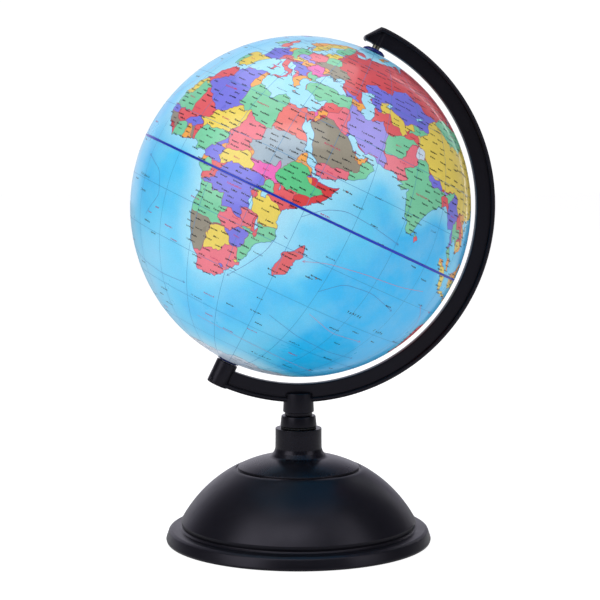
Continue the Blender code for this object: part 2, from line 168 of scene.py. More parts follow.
class Nodes:
    """A short way to write a node tree."""

    def __init__(self, name):
        self.material = bpy.data.materials.new(name)
        self.material.use_nodes = True
        self.tree = self.material.node_tree
        self.shader = self.tree.nodes["Principled BSDF"]

    def add(self, kind, inputs=(), **settings):
        node = self.tree.nodes.new("ShaderNode" + kind)
        for key, value in settings.items():
            setattr(node, key, value)
        for key, value in dict(inputs).items():
            self.set(node, key, value)
        return node

    def set(self, node, key, value):
        socket = node.inputs[key]
        if isinstance(value, bpy.types.NodeSocket):
            self.tree.links.new(value, socket)
        else:
            socket.default_value = value

    def principled(self, **inputs):
        for key, value in inputs.items():
            self.set(self.shader, key.replace("_", " "), value)

    def object_point(self):
        return self.add("TexCoord").outputs["Object"]

    def noise(self, scale, detail=3.0, roughness=0.5, stretch=None):
        point = self.object_point()
        if stretch:
            mapping = self.add("Mapping", {"Vector": point, "Scale": stretch})
            point = mapping.outputs["Vector"]
        values = {"Vector": point, "Scale": scale, "Detail": detail, "Roughness": roughness}
        return self.add("TexNoise", values).outputs["Fac"]

    def ramp(self, fac, stops, interpolation="LINEAR"):
        node = self.add("ValToRGB", {"Fac": fac})
        elements = node.color_ramp.elements
        node.color_ramp.interpolation = interpolation
        for i, (position, colour) in enumerate(stops):
            element = elements[i] if i < 2 else elements.new(position)
            element.position = position
            element.color = colour
        return node.outputs["Color"]

    def mix(self, fac, a, b, blend="MIX"):
        node = self.add("Mix", data_type="RGBA", blend_type=blend)
        for key, value in ((0, fac), (6, a), (7, b)):
            self.set(node, key, value)
        return node.outputs[2]

    def math(self, operation, a, b=0.0, clamp=False):
        node = self.add("Math", operation=operation, use_clamp=clamp)
        self.set(node, 0, a)
        self.set(node, 1, b)
        return node.outputs[0]

    def remap(self, value, low, high, to_low, to_high):
        node = self.add("MapRange", {0: value, 1: low, 2: high, 3: to_low, 4: to_high})
        return node.outputs[0]

    def bump(self, height, strength, distance):
        node = self.add("Bump", {"Height": height, "Strength": strength, "Distance": distance})
        self.set(self.shader, "Normal", node.outputs["Normal"])


def grey(value):
    return (value, value, value, 1.0)


def moulded_plastic(name, base, rough, spread, grain, grain_depth, coat=0.0):
    """Injection-moulded plastic: a fine tool texture, faint flow marks and handling smudges."""
    n = Nodes(name)
    flow = n.noise(14, 2.5, 0.6, stretch=(1, 1, 0.35))
    smudge = n.noise(46, 4.0, 0.65)
    fine = n.noise(grain, 2.0, 0.6)
    tone = n.ramp(flow, [(0.3, base), (0.72, tuple(c * 1.45 for c in base[:3]) + (1.0,))])
    speck = n.ramp(fine, [(0.44, grey(0.86)), (0.62, grey(1.22))])
    n.principled(Base_Color=n.mix(0.5, tone, speck, "MULTIPLY"))
    low = n.remap(smudge, 0.3, 0.72, rough - spread, rough + spread)
    n.principled(Roughness=n.math("ADD", low, n.remap(fine, 0.3, 0.7, -0.02, 0.03), True))
    n.bump(n.math("ADD", fine, n.math("MULTIPLY", flow, 0.6)), 0.35, grain_depth)
    n.principled(Coat_Weight=coat, Coat_Roughness=0.2, Specular_IOR_Level=0.3)
    n.principled(Specular_Tint=(0.86, 0.82, 1.0, 1.0))
    return n.material


def metal(name, base, rough, scratch_scale):
    n = Nodes(name)
    scratch = n.noise(scratch_scale, 3.0, 0.6, stretch=(1, 1, 0.06))
    blotch = n.noise(120, 3.0, 0.55)
    dark = tuple(c * 0.72 for c in base[:3]) + (1.0,)
    n.principled(Base_Color=n.ramp(blotch, [(0.3, dark), (0.66, base)]), Metallic=1.0)
    n.principled(Roughness=n.remap(scratch, 0.3, 0.7, rough - 0.07, rough + 0.12))
    n.bump(scratch, 0.3, 0.02 * MM)
    return n.material


def soft_matt(name, base, scale, depth, rough=0.9):
    """Foam, nylon or styrene: matt, with pores or a cast skin."""
    n = Nodes(name)
    pore = n.noise(scale, 4.0, 0.7)
    dark = tuple(c * 0.7 for c in base[:3]) + (1.0,)
    n.principled(Base_Color=n.ramp(pore, [(0.36, dark), (0.6, base)]))
    n.principled(Roughness=n.remap(pore, 0.3, 0.7, rough - 0.08, min(rough + 0.06, 1.0)))
    n.bump(pore, 0.5, depth)
    return n.material


def ink(name, colour, rough=0.35):
    """Printed ink under the same lacquer as the map: one flat colour."""
    n = Nodes(name)
    n.principled(Base_Color=colour, Roughness=rough, Coat_Weight=0.35, Coat_Roughness=0.12)
    return n.material


BLACK = moulded_plastic("satin_black_abs", srgb(10, 10, 15), 0.34, 0.05, 1500, 0.03 * MM)
BLACK_TURNED = moulded_plastic("satin_black_neck", srgb(10, 10, 15), 0.29, 0.04, 1900, 0.02 * MM)
HIDDEN_BLACK = moulded_plastic("black_abs_inside", srgb(28, 28, 30), 0.5, 0.05, 900, 0.05 * MM)
STEEL = metal("zinc_plated_steel", srgb(200, 196, 186), 0.3, 900)
BRASSY = metal("pin_steel", srgb(128, 126, 112), 0.28, 1400)
IRON = metal("cast_iron", srgb(92, 90, 88), 0.62, 300)
FOAM = soft_matt("foam", srgb(40, 40, 42), 1300, 0.12 * MM, 0.93)
NYLON = soft_matt("nylon", srgb(226, 224, 216), 700, 0.02 * MM, 0.5)
STYRENE = soft_matt("white_styrene_shell", srgb(222, 222, 220), 300, 0.02 * MM, 0.55)
NAVY = moulded_plastic("navy_cap", srgb(12, 28, 92), 0.25, 0.04, 1800, 0.015 * MM, 0.4)
TAPE = moulded_plastic("equator_tape_blue", srgb(26, 52, 168), 0.32, 0.03, 1600, 0.01 * MM, 0.3)

# Outlines are "longitude latitude" pairs in degrees, one shape per entry, and a semicolon ends
# an entry. Longitudes run from -169 to 191, so that the seam lies in the Bering Strait.
LANDS = """
africa -6 35.8 -2 35.1 1 36.5 5 36.8 10 37.3 11 37 10.3 34.5 11 33.3 13 32.9 15.5 32.3 18 30.4
 19.5 30.5 20.2 32.3 22 32.9 23.2 32.2 25 31.6 29 30.9 31 31.5 32.4 31.2 32.6 29.9 33 28.5
 34 26.8 35.5 24 37 21.5 37.3 19 38.5 17.8 39.7 15.3 41.2 14.6 43 12.7 43.3 11.5 45 10.5
 48 11.2 51.2 12 51 10.3 50 8 48 4.5 45.5 2 43 -0.3 41.5 -1.8 40 -3 39.2 -4.8 39 -6.5
 39.5 -8.5 40.5 -10.5 40.6 -14 39.8 -16.3 37 -17.8 35 -19.8 35.5 -22 35.5 -24 32.8 -25.9
 32.9 -27.5 31 -29.9 29 -32 26.5 -33.8 23 -34 20 -34.8 18.4 -34.1 18.2 -32 17 -29.5
 15.2 -26.8 14.5 -22.8 12.5 -18.5 11.8 -16 13.5 -12.5 13.2 -9 12.2 -6 11 -3.8 9 -1 9.5 1
 9.7 3.5 8.7 4.5 6.3 4.3 4.5 6.3 2 6.3 -2 4.8 -4 5.2 -7.5 4.4 -9.5 5.6 -11.5 6.9 -13.2 8.7
 -15 10.9 -16.8 12.5 -17.4 14.7 -16.5 16 -16.3 19 -17 21 -16 23.8 -14.5 26.2 -13 27.8
 -11.3 28.8 -9.7 30 -9.5 31.7 -7.5 33.6;
eurasia -5.6 36 -6.5 37 -8.9 37 -9.4 38.7 -8.8 41 -9.2 43.1 -8 43.7 -3.8 43.5 -1.6 43.4
 -1.2 45.5 -2.5 47.3 -4.7 48.2 -3 48.8 -1.6 48.7 -1.8 49.6 0.2 49.6 1.6 50.8 3.5 51.4 4.7 53
 7 53.6 8.7 53.9 8.2 55.6 8.3 57 10.6 57.7 10.2 56 9.8 54.8 11 54 14 54 18.5 54.7 21 55
 21.2 57 22.6 57.7 24.2 57.2 23.6 59.2 28 59.6 30 60 27 60.4 23 59.9 21.4 61 21.5 63 25.3 65
 24 65.8 22 65.5 21 64 17.5 62.2 17.3 60.7 18.8 59.8 16.5 57.5 16 56.1 14.3 55.5 13 55.4
 12.3 56.5 11.2 59 10.5 59.3 8 58.1 5.6 58.8 5 61.5 8.5 63.6 12.5 66 14.5 68 18.5 69.8 23 70.5
 28 71 31 70.3 33 69.4 40 67.8 41 66.5 38 66 33 66.6 34.8 64.5 37 63.9 40.5 64.6 39.8 65.5
 43 66.4 44 68.3 46 68 46 66.8 53.5 68.2 59.5 68.6 61 69.7 67 68.8 67 70 68.5 72 72.5 72.8
 72.8 71 71.8 68.3 74 68 74.5 71.5 80 73.6 87 75.2 98 76.3 104.5 77.7 112 76.5 106.5 73.5
 113 73.7 119 73 127 73.3 130 71 140 72.4 150 71.4 160 69.7 170 70 178 69.3 181 68.8 190 66.1
 186 64.5 179.5 62.5 170.3 60 164 59.8 163 57.8 162 55 160 53 156.7 51 155.6 54 156 57 161 60.3
 163.5 61.8 160 61.8 155 59.3 149 59.5 142 59.2 138 55.5 135.2 54.7 141.2 53.2 140.5 50 140 48
 138 46.3 135.5 44.3 132 43.2 130.7 42.3 129.7 41 127.5 39.8 129.3 37.5 129.2 35.3 126.5 34.4
 126.6 37 124.8 39.8 121.5 39 121.8 40.8 119 39.3 117.8 38.9 119 37.3 122.5 37.3 119.3 35
 120.8 33 121.8 31.5 121.5 29.5 119.7 26 117 23.5 113.5 22.3 110.4 21.3 110 20.4 109.6 21.5
 108 21.5 106 19.5 108.5 16.2 109.3 13 109 11.5 106.8 10.4 105 8.7 104.8 10.2 102.5 12 101 12.7
 100.9 13.5 100 13.3 99.3 11 100.3 8.5 102.5 6.2 103.5 4 104.2 1.4 101.3 2.9 100.3 5.8 98.4 8
 98.6 12 97.7 16 95.3 15.8 94.3 17.5 92.3 21 91 22.6 89 21.8 87 21.5 85 19.6 82.3 16.7
 80.2 15.2 80.2 13 79.9 10.5 78.2 8.9 77.5 8.1 76.3 10 74.8 13.3 73.5 16 72.9 19 72.7 21
 72.5 22.2 70.5 20.8 69 22.3 70.3 22.9 68.3 23.8 67 24.8 64.5 25.2 61.5 25.1 58.5 25.6
 57.2 26.8 56.3 27.1 54.5 26.6 51.5 27.9 50 30.1 48.6 30 48 29.5 48.5 28.2 50 26.7 50.2 25.6
 50.8 24.9 51.2 26.1 51.7 25 51.5 24.2 54 24.1 56.3 26.2 56.5 24.5 58.7 23.6 59.8 22.5 57.8 20
 57 18.8 55 17 52 15.6 48.7 14 45 12.8 43.4 12.7 42.8 15 42.5 16.8 40.5 19.8 39 21.5 38 24
 36.5 26 35 28 34.9 29.5 34.3 27.8 32.7 29.8 32.3 31.2 34.2 31.3 35.2 33 36 35 36 36.7 34 36.3
 32.3 36.1 30.6 36.8 28.3 36.7 27 37.5 26.4 39 26.8 40.2 29 41 31.3 41.2 35 42 38.5 40.9
 41.5 41.5 39.5 43.5 37.5 44.7 38.3 46.6 35 46.2 35.2 45.3 36.5 45.3 33.5 44.5 33 46 31.5 46.6
 29.7 45.2 28 43.5 28.2 41.8 29 41.2 27.5 41 26 40.7 23.7 40.6 22.8 39.5 24 38 22.9 36.5
 21.7 36.9 21.2 38.3 19.4 40.3 19.5 42 16 43.4 14.5 45 13.6 45.6 12.4 45.3 12.5 44 14.2 42.4
 16 41.8 18.4 40 17 40.5 16.6 39.5 17 38.8 15.8 38 15.7 39.9 14 40.8 12.2 41.8 10.3 43.2
 8.8 44.4 7.3 43.6 4.5 43.4 3.1 42.8 0.5 40.8 -0.3 39.4 0.1 38.7 -0.8 37.8 -2 36.8 -4.5 36.7;
north_america -168 65.6 -162 66.5 -164 67.9 -166.5 68.3 -156.6 71.3 -148 70.5 -141 69.6 -135 69
 -128 70.3 -120 69.5 -114 68 -108 68 -101 67.8 -96 68.2 -94.5 71.8 -92 69.5 -88 68.2 -85.5 69.7
 -81.5 69 -81.5 67.3 -87 64.5 -93 62.5 -94.5 59 -92.8 57 -88 56.5 -82.3 55.2 -82 53 -79.8 51.3
 -78.7 52.5 -79 54.7 -76.7 57.3 -78.3 59 -77.5 62.4 -73 62 -69.5 60.8 -69.5 58.8 -67 58.3
 -64.5 60.3 -62 57.8 -58 54.8 -56 52 -60 50.2 -66 50.2 -65 49.2 -64.8 47.5 -64 46 -61 45.3
 -64 44.3 -66 43.6 -65 45.2 -67 44.8 -70 43.7 -70.7 42.3 -70 41.7 -74 40.6 -74.2 39.5 -76 38
 -75.8 35.4 -77.8 34 -81.2 31.5 -80 27 -80.4 25.3 -81.8 26.2 -82.8 28 -84 30 -86.5 30.4
 -89.5 30.2 -91 29.3 -94 29.6 -97.2 27.8 -97.5 24.5 -97.7 22 -95.8 18.8 -94.4 18.2 -91.5 18.6
 -90.4 20.8 -87 21.4 -88 18.3 -88.8 15.9 -84 15.8 -83.3 14.5 -83.6 11 -82 9.2 -79.6 9.5
 -77.4 8.6 -76.5 7.5 -78 7.5 -79.5 8.8 -80.4 7.4 -83 8.4 -85.7 10 -87.6 12.9 -91.5 14
 -94.6 16.2 -96.5 15.7 -100 16.9 -105.4 20 -105.5 22.5 -108.5 25.3 -112.5 29.7 -114.7 31.7
 -112.8 28 -110 24 -109.5 23 -112 25.5 -114.5 28 -117 32.3 -120.6 34.5 -122.4 37.3 -124.2 40.4
 -124 45 -124.7 48.3 -122.6 48.2 -125 50.2 -128 52 -130.2 54.5 -133.5 57.5 -137 58.6 -140 59.8
 -146 60.8 -148.5 60 -151.7 59.3 -151.5 61 -154 59.3 -158 56.7 -164.5 54.7 -161 56 -157.8 58.6
 -162 58.8 -165.5 61.5 -161 64.2 -166 64.5;
south_america -77.4 8.6 -75.5 10.7 -72 12.2 -71 11 -68.5 11.5 -66 10.5 -62 10.7 -60 8.5 -57.5 6.2
 -54 5.8 -51.5 4.2 -50 1 -48 -0.8 -44.5 -2.6 -40 -2.9 -35.3 -5.2 -34.8 -8 -37 -11 -39 -13.5
 -39 -17.5 -41 -22 -45 -23.4 -48.5 -26 -48.7 -28.5 -52 -32.5 -54.5 -34.8 -58.3 -34 -56.8 -36.6
 -58.5 -38.6 -62.2 -39 -65 -41 -64.8 -42.8 -67.5 -46 -65.8 -47.6 -69 -51 -68.3 -52.4
 -65.2 -54.7 -69.5 -55.3 -73 -53.5 -75.3 -51 -75.5 -47 -74 -44.5 -73.5 -41.5 -73.5 -37
 -71.6 -33 -71.4 -30 -70.3 -25 -70.3 -18.4 -76 -14 -79 -8 -81.2 -5.5 -80.3 -3.3 -80.9 -2
 -80 0.8 -78.8 1.8 -77.4 4 -78 7.5;
australia 113.8 -22 113.5 -26 115.7 -31.8 115.1 -34.2 118 -35 123.5 -33.9 126 -32.3 131 -31.5
 134 -32.8 135.8 -34.8 137.6 -33 138.5 -35.6 140 -38 144 -38.3 146.4 -39 150 -37.4 151.3 -33.7
 153.2 -30 153.3 -26 151 -23.7 148.8 -20.4 146.2 -18.8 145.4 -15.5 143.7 -14.4 142.5 -10.8
 141.6 -13 140.8 -17.3 139 -17.4 136 -15.3 136.8 -12.3 132.7 -11.3 130.7 -12.3 129.5 -15
 126.8 -14 124 -16.3 122.2 -18 119 -20 116 -20.8;
antarctica -169 -78 -158 -77 -150 -76.5 -136 -74.6 -120 -73.8 -102 -73 -90 -73 -80 -73.5 -70 -73
 -68 -69 -66 -66.5 -60.5 -63.8 -57 -63.3 -61 -66 -62 -70 -61 -74.5 -70 -77 -60 -78.5 -45 -78
 -35 -78 -25 -75.5 -12 -71.5 0 -70.3 15 -69.9 30 -69.3 40 -69.5 50 -66.8 58 -67 69 -68
 73 -69.8 80 -68 92 -66.7 105 -66 115 -66.7 130 -66.2 142 -66.9 155 -69 165 -70.8 170.5 -71.8
 166 -75 163.5 -78 175 -78.4 191 -78 191 -89 -169 -89;
greenland -73 78.2 -66 80.9 -55 82.3 -33 83.5 -22 82 -18 80 -19.5 76 -22 72.5 -25 70.5 -32 68
 -38 65.8 -41 63.2 -43.8 60 -48.2 61 -51.5 64 -53.8 67 -51 69.5 -54.5 71.5 -58.5 75.3 -68 76;
baffin -62 66.5 -65 62 -72 64 -78 65 -73 67.5 -73 68.2 -80 70 -89 71 -89 73.5 -80.5 73.7
 -72 71.2 -67.5 69;
ellesmere -90 76.4 -80 76.3 -76 78.5 -64 82 -62 82.5 -70 83.1 -85 82.3 -92 81;
victoria -117 73 -105 73.3 -101 69.5 -105.5 69 -116 69.2; banks -125 72 -124 74 -118 73.5 -120 71.4;
devon -96 76.6 -80 75.7 -80 74.6 -92 74.7; melville -117 76 -106 75.8 -108 74.8 -115 75;
southampton -87 65.5 -81 64 -85 63.3; newfoundland -59.3 47.7 -56 51.5 -53 47 -55.5 47;
vancouver -128.3 50.7 -125.5 50.2 -123.5 48.4 -126 49.2; cuba -84.8 21.9 -82.5 23.1 -79 22.6
 -74.3 20.2 -77.5 19.9; hispaniola -74.3 18.4 -72.8 19.9 -69.8 19.7 -68.4 18.5 -71.5 17.8;
jamaica -78.3 18.4 -76.3 18.1 -77.5 17.7; puerto_rico -67.2 18.5 -65.7 18.4 -66.5 17.9;
hawaii -156 20.3 -154.9 19.5 -155.8 18.9; falklands -61 -51.4 -58 -51.6 -60 -52.4;
britain -5.5 50.1 -3 50.6 1.4 51.2 0.5 53 -1.5 55 -2 57.5 -3.2 58.6 -5 58.5 -5.8 56.5 -3 54.5
 -4.5 53.2 -5.2 51.8 -3 51.4; ireland -6 52.2 -9.8 51.6 -9.5 54.2 -7.3 55.3 -5.7 54.5;
iceland -22.5 64 -18.5 63.5 -14 64.9 -16 66.3 -20 66 -24 65.8; sicily 12.5 38 15.5 38.2 15.1 36.7;
sardinia 8.2 39 8.3 41 9.7 41 9.5 39.2; corsica 8.7 41.5 8.8 42.7 9.5 43 9.4 41.6;
crete 23.6 35.5 26.2 35.3 24.8 34.9; cyprus 32.4 34.8 33 35.3 34.5 35.6 33.8 34.9;
svalbard 12 78.5 20 80 26 79.8 18 77; novaya 52 71 57 70.7 56 73 68 76.5 60 76 53 73;
severnaya 95 79 100 81 105 79 99 78; new_siberian 138 75.5 148 75.3 143 74;
wrangel 179 71.2 182 71.4 181 70.8; sakhalin 142 54 143.2 52 143 49 144.5 48.8 142.7 46.3
 142 48 142 51; hokkaido 140 42 141.7 45.3 145.3 43.5 143 42.1; honshu 141 41.4 142 39.5
 141 37.5 140.8 35.8 138.8 34.8 136.8 34.5 135.8 33.5 135 34.6 131 34 132.8 35.5 136 35.8
 137 37.3 139.5 38.5 140 40.5; kyushu 130 33.5 131.8 33.5 131.4 31.5 130.4 31.2;
shikoku 132.5 33.5 134.5 34.2 134 33.3; taiwan 120.2 23 121.5 25.2 121 22;
hainan 108.7 19.2 110.6 20 110 18.5; luzon 120.4 16 120.8 18.5 122.2 18.4 121.7 16 124 13
 122 13.8 120.6 14; mindanao 122 7 123.5 8.6 125.5 9.7 126.4 7 125.4 5.8 124 7;
visayas 122 11.5 124.8 12.4 125.2 11 123 9.3; palawan 117.3 8.5 119.5 11.2 119.3 10;
borneo 109 1.8 111.3 2.5 113.5 4 116.8 7 119 5.2 117.7 3.8 118.8 1 117.5 0.5 116.3 -3.5
 114.5 -4 110.3 -2.8 109 0; sumatra 95.4 5.6 97.8 5.2 100.5 2.5 103.5 0 104.6 -2 106 -3.2
 105.8 -5.8 104.5 -5.8 102.2 -4 100.3 -1 98.7 1.8; java 105.3 -6.8 106.8 -6 110.5 -6.8
 114.5 -7.7 114.4 -8.7 110 -8 106.5 -7.4; sulawesi 119.5 -5.5 120.4 -5.5 120.5 -3 121.5 -4.5
 122.8 -4.5 121.8 -2 123.3 -0.9 120.3 -0.9 120.2 0.6 124.5 0.5 125 1.6 120.8 1.3 119.7 0
 118.8 -2.8; timor 123.6 -10.3 127 -8.4 125 -9; flores 115 -8.2 119 -8.3 123 -8.4 120 -9.8 117 -9;
halmahera 127.5 1.9 128.6 1 128 -0.7; seram 128 -3 130.8 -3 129 -3.6;
new_guinea 131 -0.8 134 -0.8 135 -3.3 138 -1.6 141 -2.6 144.5 -3.8 147.8 -6 147 -6.8 148.5 -8.8
 150.8 -10.3 147 -9.5 144 -7.7 142.5 -9.2 138 -8.3 138.5 -6.5 135.5 -4.4 133 -4 132 -2.8
 133.5 -2.3; new_britain 148.5 -5.7 151 -5.3 152.2 -4.2 151 -6.1; solomons 155 -6 157 -7.5
 161 -9.5 160 -10 156 -7; new_caledonia 164 -20.2 167 -22.3 165.5 -21.9;
fiji 177.4 -18.2 179.9 -16.5 178.5 -18.4; sri_lanka 79.8 8 80.2 9.8 81.8 7.5 80.6 6;
madagascar 49.3 -12 50.4 -15.8 49.4 -18 47.6 -24 45.2 -25.5 43.6 -23.8 44.3 -20 44.4 -16.8
 47 -15.2; tasmania 144.8 -40.8 148.2 -40.9 148 -43 146 -43.5; north_island 172.8 -34.5
 175.5 -36.8 178.4 -37.7 177 -39.5 175.2 -41.5 174 -39.3 174.8 -37.5; south_island 172.8 -40.6
 174.2 -41.6 172.8 -43.8 170.7 -45.9 168.5 -46.6 166.6 -46 168.5 -44 171.3 -42;
socotra 53.3 12.7 54.5 12.6 53.8 12.2; kerguelen 68.8 -48.9 70.4 -49.1 69.5 -49.8;
reunion 55.3 -20.9 55.9 -21.1 55.5 -21.5; mauritius 57.3 -20 57.9 -20.2 57.5 -20.6;
comoros 43.2 -11.4 43.6 -11.8 44.3 -12.2; bahamas -78.5 25 -77.6 24.6 -78 23.9;
zealand 10.9 55.4 12.4 56 12.2 55; gotland 18.2 57.1 19.2 57.9 18.6 57.1;
"""
LAKES = """
caspian 47 45 49 46.5 51.5 47 53 46.8 53 45.2 51 44.5 50.3 43.5 52.7 42.5 52.8 41.2 54 40
 53.8 37 51 36.8 49 37.6 48.9 39 49.6 40.4 48.5 41.9 47.5 43; aral 58.5 46 61 46.5 60 44.2 58.5 44;
baikal 104 51.5 109.5 55.5 108 53 105 51.4; victoria 31.8 0 34 0.2 34 -2 32 -2.6;
tanganyika 29.2 -3.5 29.8 -5 31 -8.6 30.4 -8.4 29.1 -6; malawi 34 -9.6 34.9 -12 35 -14.2 34.3 -13;
chad 13.5 13.6 14.6 13.5 14.3 12.6; turkana 36 4.4 36.5 3 36.1 2.6; balkhash 74 46 78.8 46.7 74.3 45;
superior -92 46.8 -88.5 48.7 -84.8 47 -87.5 46.5; michigan -87.6 41.8 -87.5 44.5 -85.2 45.8 -86.4 43;
huron -84.5 45.9 -80.2 45.5 -81.7 43.2 -83.5 44; erie -83.2 41.9 -79 42.9 -81 41.6;
ontario -79.7 43.4 -76.3 44.1 -77 43.3; winnipeg -98.5 53.5 -96.5 51 -98 51.5;
great_slave -116 61.2 -110 62.5 -113 61; great_bear -123 66.5 -119 66.5 -121 65.3;
"""
